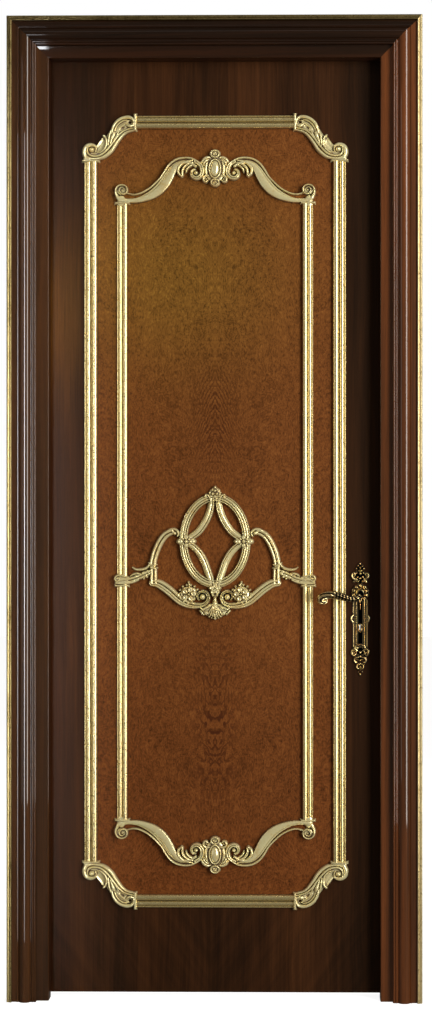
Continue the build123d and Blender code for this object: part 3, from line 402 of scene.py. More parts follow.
def brass_material(name, light, deep, dark, rough=(0.22, 0.4), relief=False, brushed=0.0):
    k = Mat(name)
    p = k.obj
    cloud = k.noise(p, 55.0, 4.0, 0.6, 0.5)
    fine = k.noise(p, 420.0, 4.0, 0.65)
    tone = k.math("MULTIPLY_ADD", cloud, 0.6, k.math("MULTIPLY", fine, 0.4))
    colour = k.ramp(tone, [(0.34, deep), (0.52, light), (0.70, tuple(min(1.0, c * 1.12) for c in light[:3]) + (1.0,))])
    shine = k.grey(fine, [(0.3, rough[0]), (0.7, rough[1])])
    height = fine
    if relief:
        hollow = k.attribute("relief")
        black = k.grey(hollow, [(0.51, 1.0), (0.62, 0.0)])
        colour = k.mix(black, colour, dark)
        shine = k.math("MULTIPLY_ADD", black, 0.12, shine)
    else:
        film = k.grey(cloud, [(0.36, 1.0), (0.5, 0.0)])
        colour = k.mix(k.math("MULTIPLY", film, 0.35), colour, dark)
    if brushed:
        hair = k.noise(k.stretch(p, (60.0, 900.0, 30.0)), 1.0, 3.0, 0.6)
        height = k.math("MULTIPLY_ADD", hair, brushed, fine)
    k.plug(colour, k.s.inputs["Base Color"])
    k.plug(shine, k.s.inputs["Roughness"])
    k.plug(k.bump(height, 0.00012, 0.4), k.s.inputs["Normal"])
    k.set(Metallic=1.0)
    return k.m


antique_mat = brass_material("antique_brass", lin(250, 226, 170), lin(206, 164, 98), lin(4, 3, 3), (0.14, 0.24), relief=True)
antique_plain_mat = brass_material("antique_brass_plain", lin(84, 62, 31), lin(50, 35, 18), lin(14, 9, 6), (0.26, 0.4))
hinge_mat = brass_material("hinge_brass", lin(202, 168, 98), lin(168, 132, 70), lin(92, 64, 30), (0.24, 0.4), brushed=0.5)
lock_brass_mat = brass_material("lock_brass", lin(206, 174, 104), lin(176, 142, 78), lin(104, 74, 36), (0.22, 0.36), brushed=0.8)
screw_mat = brass_material("screw_brass", lin(198, 164, 96), lin(160, 124, 66), lin(84, 58, 28), (0.22, 0.36))
steel_mat = brass_material("lock_steel", lin(186, 190, 194), lin(150, 154, 158), lin(92, 92, 92), (0.26, 0.42), brushed=0.8)


black_steel_mat = brass_material("lock_black_steel", lin(88, 92, 100), lin(58, 61, 66), lin(26, 26, 28), (0.34, 0.5))


def rubber_material():
    k = Mat("seal_rubber")
    fine = k.noise(k.obj, 900.0, 3.0, 0.6)
    cloud = k.noise(k.obj, 12.0, 3.0, 0.5)
    k.plug(k.ramp(cloud, [(0.35, lin(30, 24, 20)), (0.65, lin(44, 36, 30))]), k.s.inputs["Base Color"])
    k.plug(k.grey(fine, [(0.3, 0.55), (0.7, 0.75)]), k.s.inputs["Roughness"])
    k.plug(k.bump(fine, 0.00015, 0.4), k.s.inputs["Normal"])
    return k.m


rubber_mat = rubber_material()


def floor_material():
    k = Mat("studio_floor")
    soft = k.noise(k.obj, 2.0, 2.0, 0.5)
    k.plug(k.ramp(soft, [(0.3, (0.50, 0.50, 0.50, 1)), (0.7, (0.54, 0.54, 0.54, 1))]), k.s.inputs["Base Color"])
    k.set(Roughness=0.9, Emission_Color=(1, 1, 1, 1), Emission_Strength=0.90)
    return k.m


# --------------------------------------------------------------- mesh helpers
def shade(mesh, angle=32.0):
    for p in mesh.polygons:
        p.use_smooth = True
    if angle:
        mesh.set_sharp_from_angle(angle=math.radians(angle))


def new_object(name, verts, faces, mat, body, angle=32.0, relief=None, replaces=()):
    mesh = bpy.data.meshes.new(name)
    mesh.from_pydata([tuple(v) for v in np.asarray(verts).tolist()], [], faces if isinstance(faces, list) else faces.tolist())
    mesh.validate()
    mesh.materials.append(mat)
    mesh.polygons.foreach_set("use_smooth", np.ones(len(mesh.polygons), bool))
    if angle:
        mesh.set_sharp_from_angle(angle=math.radians(angle))
    if relief is not None:
        a = mesh.attributes.new("relief", "FLOAT", "POINT")
        a.data.foreach_set("value", np.asarray(relief, np.float32))
    obj = bpy.data.objects.new(name, mesh)
    bpy.context.scene.collection.objects.link(obj)
    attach(obj, body)
    if replaces:
        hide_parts(*replaces)
    return obj


def arc(a, m, b, n=14):
    """Points of the circle arc from a over m to b."""
    (ax, ay), (bx, by), (cx, cy) = a, m, b
    d = 2 * (ax * (by - cy) + bx * (cy - ay) + cx * (ay - by))
    ux = ((ax**2 + ay**2) * (by - cy) + (bx**2 + by**2) * (cy - ay) + (cx**2 + cy**2) * (ay - by)) / d
    uy = ((ax**2 + ay**2) * (cx - bx) + (bx**2 + by**2) * (ax - cx) + (cx**2 + cy**2) * (bx - ax)) / d
    r = math.hypot(ax - ux, ay - uy)
    t0, tm, t1 = (math.atan2(p[1] - uy, p[0] - ux) for p in (a, m, b))
    while tm - t0 > math.pi: tm -= 2 * math.pi
    while tm - t0 < -math.pi: tm += 2 * math.pi
    while t1 - tm > math.pi: t1 -= 2 * math.pi
    while t1 - tm < -math.pi: t1 += 2 * math.pi
    return [(ux + r * math.cos(t0 + (t1 - t0) * i / n), uy + r * math.sin(t0 + (t1 - t0) * i / n)) for i in range(n + 1)]


def softened(points, r=0.35, n=3, closed=True):
    """The same outline with its sharp corners rounded."""
    out = []
    m = len(points)
    for i, p in enumerate(points):
        p = np.array(p, float)
        a = np.array(points[i - 1], float)
        b = np.array(points[(i + 1) % m], float)
        u, v = a - p, b - p
        lu, lv = np.linalg.norm(u), np.linalg.norm(v)
        if lu < 1e-9 or lv < 1e-9:
            continue
        u, v = u / lu, v / lv
        turn = math.degrees(math.acos(max(-1.0, min(1.0, float(-u @ v)))))
        if turn < 25 or (not closed and i in (0, m - 1)):
            out.append(tuple(p))
            continue
        k = min(r, lu * 0.45, lv * 0.45)
        s, e = p + u * k, p + v * k
        for j in range(n + 1):
            t = j / n
            out.append(tuple((1 - t) ** 2 * s + 2 * t * (1 - t) * p + t * t * e))
    return out


def sweep(name, outline, starts, ends, mat, body, relief=None, replaces=(), angle=32.0, rings=1):
    """A closed outline carried from one set of points to another, capped."""
    n = len(outline)
    verts = []
    for i in range(rings + 1):
        t = i / rings
        verts += [tuple(np.array(s) * (1 - t) + np.array(e) * t) for s, e in zip(starts, ends)]
    faces = []
    for r in range(rings):
        for i in range(n):
            j = (i + 1) % n
            faces.append([r * n + i, r * n + j, (r + 1) * n + j, (r + 1) * n + i])
    faces.append(list(range(n))[::-1])
    faces.append([rings * n + i for i in range(n)])
    v = np.array(verts)
    # outward faces: the volume's sign says which way round
    vol = 0.0
    for f in faces:
        c = v[f].mean(0) * 0
        for i in range(1, len(f) - 1):
            vol += np.dot(v[f[0]], np.cross(v[f[i]], v[f[i + 1]]))
    if vol < 0:
        faces = [f[::-1] for f in faces]
    rel = None if relief is None else list(relief) * (rings + 1)
    return new_object(name, v, faces, mat, body, angle, rel, replaces)


def outline_relief(outline, heights, reach=3.0):
    """How far each point of a section stands above its surroundings, 0..1."""
    p = np.array(outline, float)
    h = np.array(heights, float)
    out = []
    for i in range(len(p)):
        w = np.exp(-((p[:, 0] - p[i, 0]) ** 2) / (2 * reach**2))
        out.append(0.5 + (h[i] - (w * h).sum() / w.sum()) / 3.2)
    return np.clip(out, 0, 1)


# ------------------------------------------------- casings and their gilt edge
HALF, TOP = 530.0, 2516.0
casing_section = (
    [(13, 34), (13, 10), (26, 10), (26, 7.5), (29.5, 7.5)]
    + arc((31, 9), (36.2, 2.9), (43.6, 0.05), 14)
    + [(47.3, 0.05), (51.0, 0.22)]
    + arc((51.0, 0.22), (57.0, 3.4), (61, 9), 14)[1:]
    + [(63, 9)]
    + arc((63, 9), (66, 6.5), (69, 9), 12)[1:]
    + arc((69, 9), (72, 7.5), (75, 10.5), 12)[1:]
    + [(75, 22), (101, 22)]
    + [(102.9, 22.2), (104.9, 23.0)]
    + arc((104.9, 23.0), (105.75, 24.4), (106, 27), 8)[1:]
    + [(106, 34)]
)
gilt_section = [(0, 34), (0, 7), (1.5, 5), (7.5, 5), (8, 6)] + arc((8, 6), (10.5, 3), (13, 6), 14)[1:] + [(13, 34)]


def surround(prefix, section, half, top, mats, soft=0.35, relief=False):
    pts = softened(section, soft)
    rel = outline_relief(pts, [-p[1] for p in pts], 2.2) if relief else None
    y = [depth_y(d) for u, d in pts]
    for side in ("left", "right", "head"):
        if side == "head":
            s = [((-half + u) * 0.001, yy, (top - u) * 0.001) for (u, d), yy in zip(pts, y)]
            e = [((half - u) * 0.001, yy, (top - u) * 0.001) for (u, d), yy in zip(pts, y)]
        else:
            k = -1 if side == "left" else 1
            s = [(k * (half - u) * 0.001, yy, 0.0) for (u, d), yy in zip(pts, y)]
            e = [(k * (half - u) * 0.001, yy, (top - u) * 0.001) for (u, d), yy in zip(pts, y)]
        sweep(f"{prefix}_{side}_shape", pts, s, e, mats[side], "frame", rel, (f"{prefix}_{side}",))


# painted light and shade: the head casing takes a darker copy of the lacquer and the right casing a brighter, redder
# one
surround("casing", casing_section, HALF, TOP, {"left": casing_mat, "head": casing_head_painted_shade_mat, "right": casing_right_painted_light_mat})
# painted shade: the left and head gilt edges take the darker copy, the right edge the bright one
surround("gilt_edge", gilt_section, HALF, TOP, {"left": gilt_edge_painted_shade_mat, "head": gilt_edge_painted_shade_mat, "right": gilt_edge_mat}, 0.5, relief=True)

back_section = [(0, 119), (0, 128)] + arc((0, 128), (0.88, 130.12), (3, 131), 6)[1:] + [(64, 131)] + arc((64, 131), (68.24, 129.24), (70, 125), 8)[1:] + [(70, 119)]
surround("architrave_back", back_section, 520.0, 2506.0, {"left": lining_mat, "head": lining_head_mat, "right": lining_mat}, 0.2)


# ------------------------------------------------------------ gilded mouldings
def bar_section(w):
    k = w / 34.0
    pts = [(0, 0), (0, 4.0), (0.9 * k, 5.2), (2.4 * k, 5.0), (3.4 * k, 3.6), (4.4 * k, 3)]
    pts += arc((4.4 * k, 3), (10.4 * k, 8.2), (16.4 * k, 3.2), 18)[1:]
    pts += [(18.6 * k, 3.2)]
    pts += arc((18.6 * k, 3.2), (26 * k, 12), (33.2 * k, 3), 26)[1:]
    pts += [(34 * k, 2.2), (34 * k, 0)]
    return pts


def bar(name, w, place, a, b):
    pts = softened(bar_section(w), 0.4)
    rel = outline_relief(pts, [p[1] for p in pts], 2.0)
    s = [place(u, h, a) for u, h in pts]
    e = [place(u, h, b) for u, h in pts]
    sweep(f"{name}_moulding", pts, s, e, gilt_bar_mat, "leaf", rel, (name,), rings=8)


for name, cx, sx, w, z0, z1 in (
    ("bar_outer_left", -320, 1, 34.0, 349, 2153), ("bar_outer_right", 320, -1, 34.0, 349, 2153),
    ("bar_inner_left", -239, 1, 27.0, 458, 2044), ("bar_inner_right", 239, -1, 27.0, 458, 2044),
):
    bar(name, w, lambda u, h, z, cx=cx, sx=sx, w=w: ((cx - sx * w / 2 + sx * u) * 0.001, LEAF_Y - h * 0.001, z * 0.001), z0, z1)
for name, cz, sz in (("bar_outer_top", 2254, -1), ("bar_outer_bottom", 248, 1)):
    bar(name, 34.0, lambda u, h, x, cz=cz, sz=sz: (x * 0.001, LEAF_Y - h * 0.001, (cz - sz * 17 + sz * u) * 0.001), -203, 203)


# ----------------------------------------------------------------- relief work
FLOOR = -1.2


def spline(points, spacing=0.6):
    """An even run of points along a smooth curve through the given ones."""
    p = np.array(points, float)
    if len(p) == 2:
        dense = p[0] + (p[1] - p[0]) * np.linspace(0, 1, 40)[:, None]
        which = np.linspace(0, 1, 40)
    else:
        ext = np.vstack([2 * p[0] - p[1], p, 2 * p[-1] - p[-2]])
        dense, which = [], []
        for i in range(len(p) - 1):
            a, b, c, d = ext[i], ext[i + 1], ext[i + 2], ext[i + 3]
            for t in np.linspace(0, 1, 24, endpoint=False):
                dense.append(0.5 * (2 * b + (c - a) * t + (2 * a - 5 * b + 4 * c - d) * t**2 + (3 * b - a - 3 * c + d) * t**3))
                which.append(i + t)
        dense.append(p[-1])
        which.append(len(p) - 1.0)
        dense, which = np.array(dense), np.array(which)
    step = np.r_[0, np.cumsum(np.linalg.norm(np.diff(dense, axis=0), axis=1))]
    n = max(8, int(step[-1] / spacing))
    s = np.linspace(0, step[-1], n)
    line = np.stack([np.interp(s, step, dense[:, k]) for k in range(2)], 1)
    return line, s, np.interp(s, step, which)


def spiral(cx, cz, r0, r1, start, turns, n=40):
    """Points winding in from radius r0 to r1. Angles in degrees, turning the
    way of the sign of turns."""
    t = np.linspace(0, 1, n)
    a = np.radians(start) + 2 * np.pi * turns * t
    r = r0 + (r1 - r0) * t**0.85
    return [(cx + rr * math.cos(aa), cz + rr * math.sin(aa)) for rr, aa in zip(r, a)]


class Relief:
    """Heights over a grid, one layer to a piece."""

    def __init__(self, x0, x1, z0, z1, step):
        self.step = step
        self.xs = np.arange(x0, x1 + step / 2, step)
        self.zs = np.arange(z0, z1 + step / 2, step)
        self.X, self.Z = np.meshgrid(self.xs, self.zs, indexing="ij")
        self.layers = {}
        self.now = None

    def layer(self, name):
        self.layers.setdefault(name, np.full(self.X.shape, -4.0))
        self.now = name
        return self

    def window(self, x0, x1, z0, z1):
        i0, i1 = np.searchsorted(self.xs, [x0, x1])
        j0, j1 = np.searchsorted(self.zs, [z0, z1])
        return slice(max(0, i0 - 1), i1 + 1), slice(max(0, j0 - 1), j1 + 1)

    def lay(self, win, h, how="max"):
        a = self.layers[self.now][win]
        if how == "max":
            np.maximum(a, h, out=a)
        elif how == "add":
            a[a > -1] += h[a > -1]
        elif how == "min":
            np.minimum(a, h, out=a)

    def stroke(self, points, width, height, prof, slope=4.0, lines=0, line_amp=0.0, leaf=None, flat=0.0, cap=True):
        """A ridge along a curve. width (half) and height may be one number or
        one to a point; prof(u) gives the section, u from -1 (left) to 1."""
        line, s, which = spline(points)
        n = len(points)
        W = np.interp(which, np.linspace(0, n - 1, len(width)) if np.ndim(width) else [0, n - 1], width if np.ndim(width) else [width, width])
        Hh = np.interp(which, np.linspace(0, n - 1, len(height)) if np.ndim(height) else [0, n - 1], height if np.ndim(height) else [height, height])
        T = np.gradient(line, axis=0)
        T /= np.linalg.norm(T, axis=1)[:, None] + 1e-12
        m = W.max() + 2.5
        win = self.window(line[:, 0].min() - m, line[:, 0].max() + m, line[:, 1].min() - m, line[:, 1].max() + m)
        X, Z = self.X[win], self.Z[win]
        shape = X.shape
        px, pz = X.ravel(), Z.ravel()
        best = np.full(px.shape, 1e9)
        idx = np.zeros(px.shape, int)
        for c in range(0, len(px), 6000):
            q = slice(c, c + 6000)
            d = (px[q, None] - line[None, :, 0]) ** 2 + (pz[q, None] - line[None, :, 1]) ** 2
            # the wider parts of the stroke win where the curve nears itself
            d = np.sqrt(d) / W[None, :]
            idx[q] = d.argmin(1)
            best[q] = d[np.arange(d.shape[0]), idx[q]]
        dx, dz = px - line[idx, 0], pz - line[idx, 1]
        side = T[idx, 0] * dz - T[idx, 1] * dx
        along = T[idx, 0] * dx + T[idx, 1] * dz
        u = np.where(np.abs(side) > 1e-9, np.sign(side), 1.0) * best
        if not cap:
            over = ((idx == 0) & (along < 0)) | ((idx == len(line) - 1) & (along > 0))
        w, h = W[idx], Hh[idx]
        if leaf is not None:
            pitch, depth, slant = leaf
            sm = s[idx] + along
            lobes = np.abs(np.sin(np.pi * (sm / pitch - slant * np.abs(u))))
            u = u * (1 + depth * (1 - lobes))
        a = np.abs(u)
        inside = prof(np.clip(u, -1, 1)) * (h - flat) + flat
        if lines:
            inside = inside + line_amp * np.cos(np.pi * lines * np.clip(u, -1, 1))
        if leaf is not None:
            inside = inside - 0.9 * (1 - lobes) ** 2 * np.clip(1.1 - a * 0.4, 0, 1)
        out = np.where(a <= 1, inside, np.minimum(inside, inside - (a - 1) * w * slope))
        out = np.where(a > 1, np.minimum(out, prof(np.ones(1))[0] * (h - flat) + flat - (a - 1) * w * slope), out)
        if not cap:
            out = np.where(over & (np.abs(along) > 0.4), -4.0, out)
        self.lay(win, np.maximum(out, -4.0).reshape(shape))
        return self

    def ball(self, x, z, r, top, rz=None, turn=0.0, power=2.0, slope=4.0, base=0.0):
        rz = rz or r
        m = max(r, rz) + 2.5
        win = self.window(x - m, x + m, z - m, z + m)
        X, Z = self.X[win] - x, self.Z[win] - z
        c, s = math.cos(math.radians(turn)), math.sin(math.radians(turn))
        a, b = (X * c + Z * s) / r, (-X * s + Z * c) / rz
        d = np.sqrt(a * a + b * b)
        h = base + (top - base) * np.clip(1 - np.clip(d, 0, 1) ** power, 0, 1) ** 0.5
        h = np.where(d > 1, base - (d - 1) * min(r, rz) * slope, h)
        self.lay(win, np.maximum(h, -4.0))
        return self

    def dish(self, x, z, r, depth, rz=None, turn=0.0):
        """A scooped hollow in what is there."""
        rz = rz or r
        win = self.window(x - r - rz, x + r + rz, z - r - rz, z + r + rz)
        X, Z = self.X[win] - x, self.Z[win] - z
        c, s = math.cos(math.radians(turn)), math.sin(math.radians(turn))
        a, b = (X * c + Z * s) / r, (-X * s + Z * c) / rz
        d = np.clip(1 - (a * a + b * b), 0, 1) ** 0.7
        self.lay(win, -depth * d, "add")
        return self

    def block(self, x0, x1, z0, z1, top, edge=1.2, slope=4.0, crown=0.0):
        m = 2.5
        win = self.window(x0 - m, x1 + m, z0 - m, z1 + m)
        X, Z = self.X[win], self.Z[win]
        d = np.minimum(np.minimum(X - x0, x1 - X), np.minimum(Z - z0, z1 - Z))
        rise = np.clip(d / edge, 0, 1)
        h = top - edge * (1 - np.sqrt(np.clip(1 - (1 - rise) ** 2, 0, 1)))
        if crown:
            v = (Z - (z0 + z1) / 2) / ((z1 - z0) / 2) if (z1 - z0) < (x1 - x0) else (X - (x0 + x1) / 2) / ((x1 - x0) / 2)
            h = h - crown * np.clip(v, -1, 1) ** 2
        h = np.where(d < 0, top - edge + d * slope, h)
        self.lay(win, np.maximum(h, -4.0))
        return self

    def petal(self, x, z, turn, length, wide, top, low=2.0, rib=0.9, bend=0.0):
        """A leaf or petal from its root at (x, z) out along the angle."""
        a = math.radians(turn)
        ux, uz = math.cos(a), math.sin(a)
        pts = []
        for t in np.linspace(0, 1, 6):
            o = bend * math.sin(math.pi * 0.5 * t) * length * t
            pts.append((x + ux * length * t - uz * o, z + uz * length * t + ux * o))
        widths = [wide * k for k in (0.45, 0.85, 1.0, 0.92, 0.62, 0.22)]
        heights = [low + (top - low) * k for k in (0.5, 0.75, 0.95, 1.0, 0.85, 0.55)]

        def section(u):
            v = np.abs(u)
            return 0.62 + 0.38 * np.cos(np.pi * np.clip(v - 0.62, -0.38, 0.38) / 0.76) * (v > 0.0) - 0.20 * np.exp(-((v - 0.28) / 0.16) ** 2) - 0.35 * np.clip(v - 0.85, 0, 1) / 0.15 + rib * 0.16 * np.exp(-(v / 0.10) ** 2)

        return self.stroke(pts, widths, heights, section)


def p_round(u):
    return np.sqrt(np.clip(1 - u * u, 0, 1)) * 0.72 + 0.28


def bumps(*items, base=0.25):
    """A section made of half-round beads: (centre, half width, height)."""
    def section(u):
        h = np.full(np.shape(u), base, float)
        for c, r, t in items:
            h = np.maximum(h, base + (t - base) * np.sqrt(np.clip(1 - ((u - c) / r) ** 2, 0, 1)))
        return h
    return section


def blur(a, r):
    """Box blur of radius r cells, twice."""
    for _ in range(2):
        for axis in (0, 1):
            pad = [(0, 0), (0, 0)]
            pad[axis] = (r + 1, r)
            c = np.cumsum(np.pad(a, pad, mode="edge"), axis=axis)
            n = a.shape[axis]
            hi = np.take(c, np.arange(2 * r + 1, 2 * r + 1 + n), axis=axis)
            lo = np.take(c, np.arange(0, n), axis=axis)
            a = (hi - lo) / (2 * r + 1)
    return a


def carve(R, jobs, mat, body, mirror=(False, False), y0=LEAF_Y, back=False, cavity=2.6, reach=2.2):
    """Turns the layers into closed meshes. Where layers overlap the higher
    one keeps the place, so the pieces meet without running through each
    other. jobs is [(layer, object name, nodes it replaces)]."""
    names = [j[0] for j in jobs]
    H = np.stack([R.layers[n] for n in names])
    top = H.max(0)
    floor = np.maximum(top, FLOOR)
    small = blur(floor, max(1, int(round(reach / R.step))))
    rel = np.clip(0.5 + (floor - small) / (2 * cavity), 0, 1)
    cell = np.maximum.reduce([top[:-1, :-1], top[1:, :-1], top[1:, 1:], top[:-1, 1:]])
    corner_sum = H[:, :-1, :-1] + H[:, 1:, :-1] + H[:, 1:, 1:] + H[:, :-1, 1:]
    owner = corner_sum.argmax(0)
    made = []
    for i, (lname, name, replaces) in enumerate(jobs):
        on = (cell > -0.25) & (owner == i)
        # drop cells that hang on by a corner alone
        for _ in range(2):
            pad = np.pad(on, 1)
            near = pad[:-2, 1:-1].astype(int) + pad[2:, 1:-1] + pad[1:-1, :-2] + pad[1:-1, 2:]
            on &= near >= 2
        # close corner-to-corner touches so that the mesh stays manifold
        for _ in range(6):
            a = on[:-1, :-1] & on[1:, 1:] & ~on[1:, :-1] & ~on[:-1, 1:]
            b = on[1:, :-1] & on[:-1, 1:] & ~on[:-1, :-1] & ~on[1:, 1:]
            if not (a.any() or b.any()):
                break
            on[:-1, :-1] &= ~a
            on[1:, :-1] &= ~b
        ci, cj = np.nonzero(on)
        nz = R.X.shape[1]
        quad = np.stack([ci * nz + cj, (ci + 1) * nz + cj, (ci + 1) * nz + cj + 1, ci * nz + cj + 1], 1)
        used = np.unique(quad)
        remap = -np.ones(R.X.size, int)
        remap[used] = np.arange(len(used))
        q = remap[quad]
        n = len(used)
        x, z, h = R.X.ravel()[used], R.Z.ravel()[used], floor.ravel()[used]
        edges = np.concatenate([q[:, [0, 1]], q[:, [1, 2]], q[:, [2, 3]], q[:, [3, 0]]])
        key = np.sort(edges, 1)
        _, inv, cnt = np.unique(key[:, 0] * (n + 1) + key[:, 1], return_inverse=True, return_counts=True)
        rim = edges[cnt[inv] == 1]
        rim_v = np.unique(rim)
        side = np.stack([rim[:, 1], rim[:, 0], rim[:, 0] + n, rim[:, 1] + n], 1)
        faces = np.concatenate([q, q[:, ::-1] + n, side])
        top_y, bottom_y = h, np.full(n, FLOOR - 0.4)
        X = np.r_[x, x]
        Z = np.r_[z, z]
        Hy = np.r_[top_y, bottom_y]
        mx, mz = mirror
        if mx:
            X = -X
        if mz:
            Z = 2 * MIRROR_Z - Z
        Y = y0 + Hy * 0.001 if back else y0 - Hy * 0.001
        # +X by +Z looks along -Y, so the first winding faces the viewer
        if (mx != mz) != back:
            faces = faces[:, ::-1]
        verts = np.stack([X * 0.001, Y, Z * 0.001], 1)
        r = np.r_[rel.ravel()[used], np.full(n, 0.5)]
        made.append(new_object(name, verts, faces, mat, body, 50.0, r, replaces))
    return made


# --------------------------------------------------------------- corner scroll
def corner_relief():
    R = Relief(-352, -196, 2146, 2284, 0.95).layer("corner")
    # collars over the upright moulding and at the end of the top one
    R.block(-341.0, -299.0, 2153.0, 2156.0, 13.2, 1.4)
    R.block(-338.0, -302.0, 2155.8, 2162.0, 10.5, 2.5)
    R.block(-208.0, -203.2, 2233.0, 2275.0, 13.2, 1.8)
    # ground of the scroll, low between its ridges
    R.stroke([(-322, 2172), (-306, 2172), (-291, 2179), (-277, 2194), (-264, 2213), (-252, 2230), (-238, 2244), (-222, 2249)], [12, 10, 12, 14, 16, 16.5, 15, 10], [6.5, 6.5, 7.5, 8, 8.5, 8.5, 8, 7.5], lambda u: 1 - 0.25 * u * u)
    # the S-band: two bright ridges with a hollow between them
    R.stroke([(-327.4, 2190), (-329, 2180), (-325.5, 2171.5), (-315.5, 2166.8), (-302, 2167.3), (-290.6, 2172), (-281.4, 2179.4), (-273.6, 2188), (-263.4, 2200.5), (-254.4, 2212.8), (-246.3, 2222.2), (-235.5, 2230.6), (-222.6, 2236.2), (-208, 2239)],
             [2.2, 2.7, 3.0, 3.0, 3.1, 3.2, 3.2, 3.2, 3.2, 3.0, 2.8, 2.5, 2.2, 1.8], [13, 14, 14.5, 14.5, 14.5, 14.5, 14.5, 14.5, 14.5, 14, 14, 13.5, 13, 12.5], p_round)
    R.stroke([(-331, 2160.5), (-316, 2159.6), (-300, 2161), (-287, 2164.8), (-276, 2172), (-265, 2183), (-256, 2197), (-246.8, 2210), (-237.5, 2221), (-226.5, 2228.6), (-208, 2233.8)],
             [2.8, 3.2, 3.6, 4.4, 4.8, 4.8, 4.6, 4.2, 3.6, 2.9, 2.0], [10, 11.5, 12.5, 13, 13.5, 13.5, 13.5, 13, 13, 12.5, 12], p_round)
    # lower volute: a broad rolled rim round a ball
    R.stroke([(-318, 2160), (-331, 2163.5), (-336.6, 2173), (-336, 2184), (-331, 2192), (-321, 2196), (-311.5, 2194), (-307, 2188.5)],
             [4, 5.6, 6.2, 6.2, 6.0, 5.4, 4.4, 2.8], [10, 12, 13, 13, 13, 13, 12.5, 11], p_round)
    R.ball(-317.5, 2183.0, 8.4, 16.5, 7.4)
    R.stroke([(-307.8, 2190), (-306.4, 2183.5), (-308.4, 2177.5)], [1.5, 2.0, 1.6], [12.5, 13.8, 12.5], p_round)
    # spoon-shaped leaf: its hollow, its bright rim and the tip turned over
    R.stroke([(-304, 2184), (-297, 2189), (-290.5, 2198), (-286.5, 2209)], [7, 9, 8.5, 5], [9, 9.4, 9.8, 10], lambda u: 0.62 + 0.38 * np.abs(u) ** 2.2, lines=9, line_amp=0.18)
    R.stroke([(-303, 2175.5), (-293.5, 2177), (-284.5, 2185), (-279.3, 2196), (-279.5, 2207), (-284.5, 2217.5), (-288, 2219.8)], [2.0, 2.7, 3.2, 3.4, 3.4, 3.0, 2.0], [11.5, 13, 14.2, 14.8, 15.2, 15.6, 14.5], p_round)
    R.ball(-286.2, 2217.6, 3.4, 17.0, 4.6, 25)
    # lobes that overlap up the stem, the last a bright teardrop
    R.stroke([(-275, 2194), (-273.6, 2207), (-272, 2219), (-268.5, 2231)], [2.4, 3.6, 4.0, 2.6], [12, 13.2, 13.2, 12], p_round)
    R.stroke([(-269, 2198), (-266, 2208), (-262, 2218.5), (-259.8, 2225.5)], [2.0, 3.8, 5.6, 4.6], [12.5, 14.5, 16.5, 15.5], p_round)
    R.stroke([(-262, 2203), (-257.5, 2211), (-252.5, 2219.5), (-248, 2228)], [1.8, 2.6, 3.0, 1.8], [12.5, 13.5, 13.5, 12], p_round)
    # C-scroll over it: rolled rim, a fine ridge inside, a dark eye and a half-moon
    R.stroke([(-266.5, 2224), (-263, 2240), (-255, 2253.5), (-243, 2262.6), (-230, 2266.8), (-218.5, 2266.2), (-210.8, 2260), (-208.8, 2251), (-211, 2243.5)],
             [3.2, 4.4, 4.8, 4.9, 4.9, 4.6, 4.2, 3.6, 3.0], [11, 12.5, 13.5, 14, 14, 14, 14, 13.5, 13], p_round)
    R.stroke([(-258.5, 2231), (-254, 2242.5), (-246.8, 2250.8), (-238, 2256.6), (-227.5, 2259.4)], [1.5, 2.0, 2.1, 2.1, 1.5], [13, 14.2, 14.6, 14.6, 13.5], p_round)
    R.stroke([(-249, 2235), (-242.5, 2242), (-234, 2248), (-227, 2250.5)], [1.4, 1.9, 1.9, 1.2], [10.5, 11.8, 11.8, 10.5], p_round)
    R.dish(-238, 2238.8, 8.0, 4.0, 3.6, 38)
    R.dish(-219.3, 2254.0, 4.8, 9.0)
    R.stroke([(-227, 2247.2), (-222, 2243.8), (-216.5, 2243.2), (-211.5, 2245.5)], [2.4, 3.8, 4.0, 2.6], [13.5, 15.5, 15.5, 13.5], p_round)
    return R


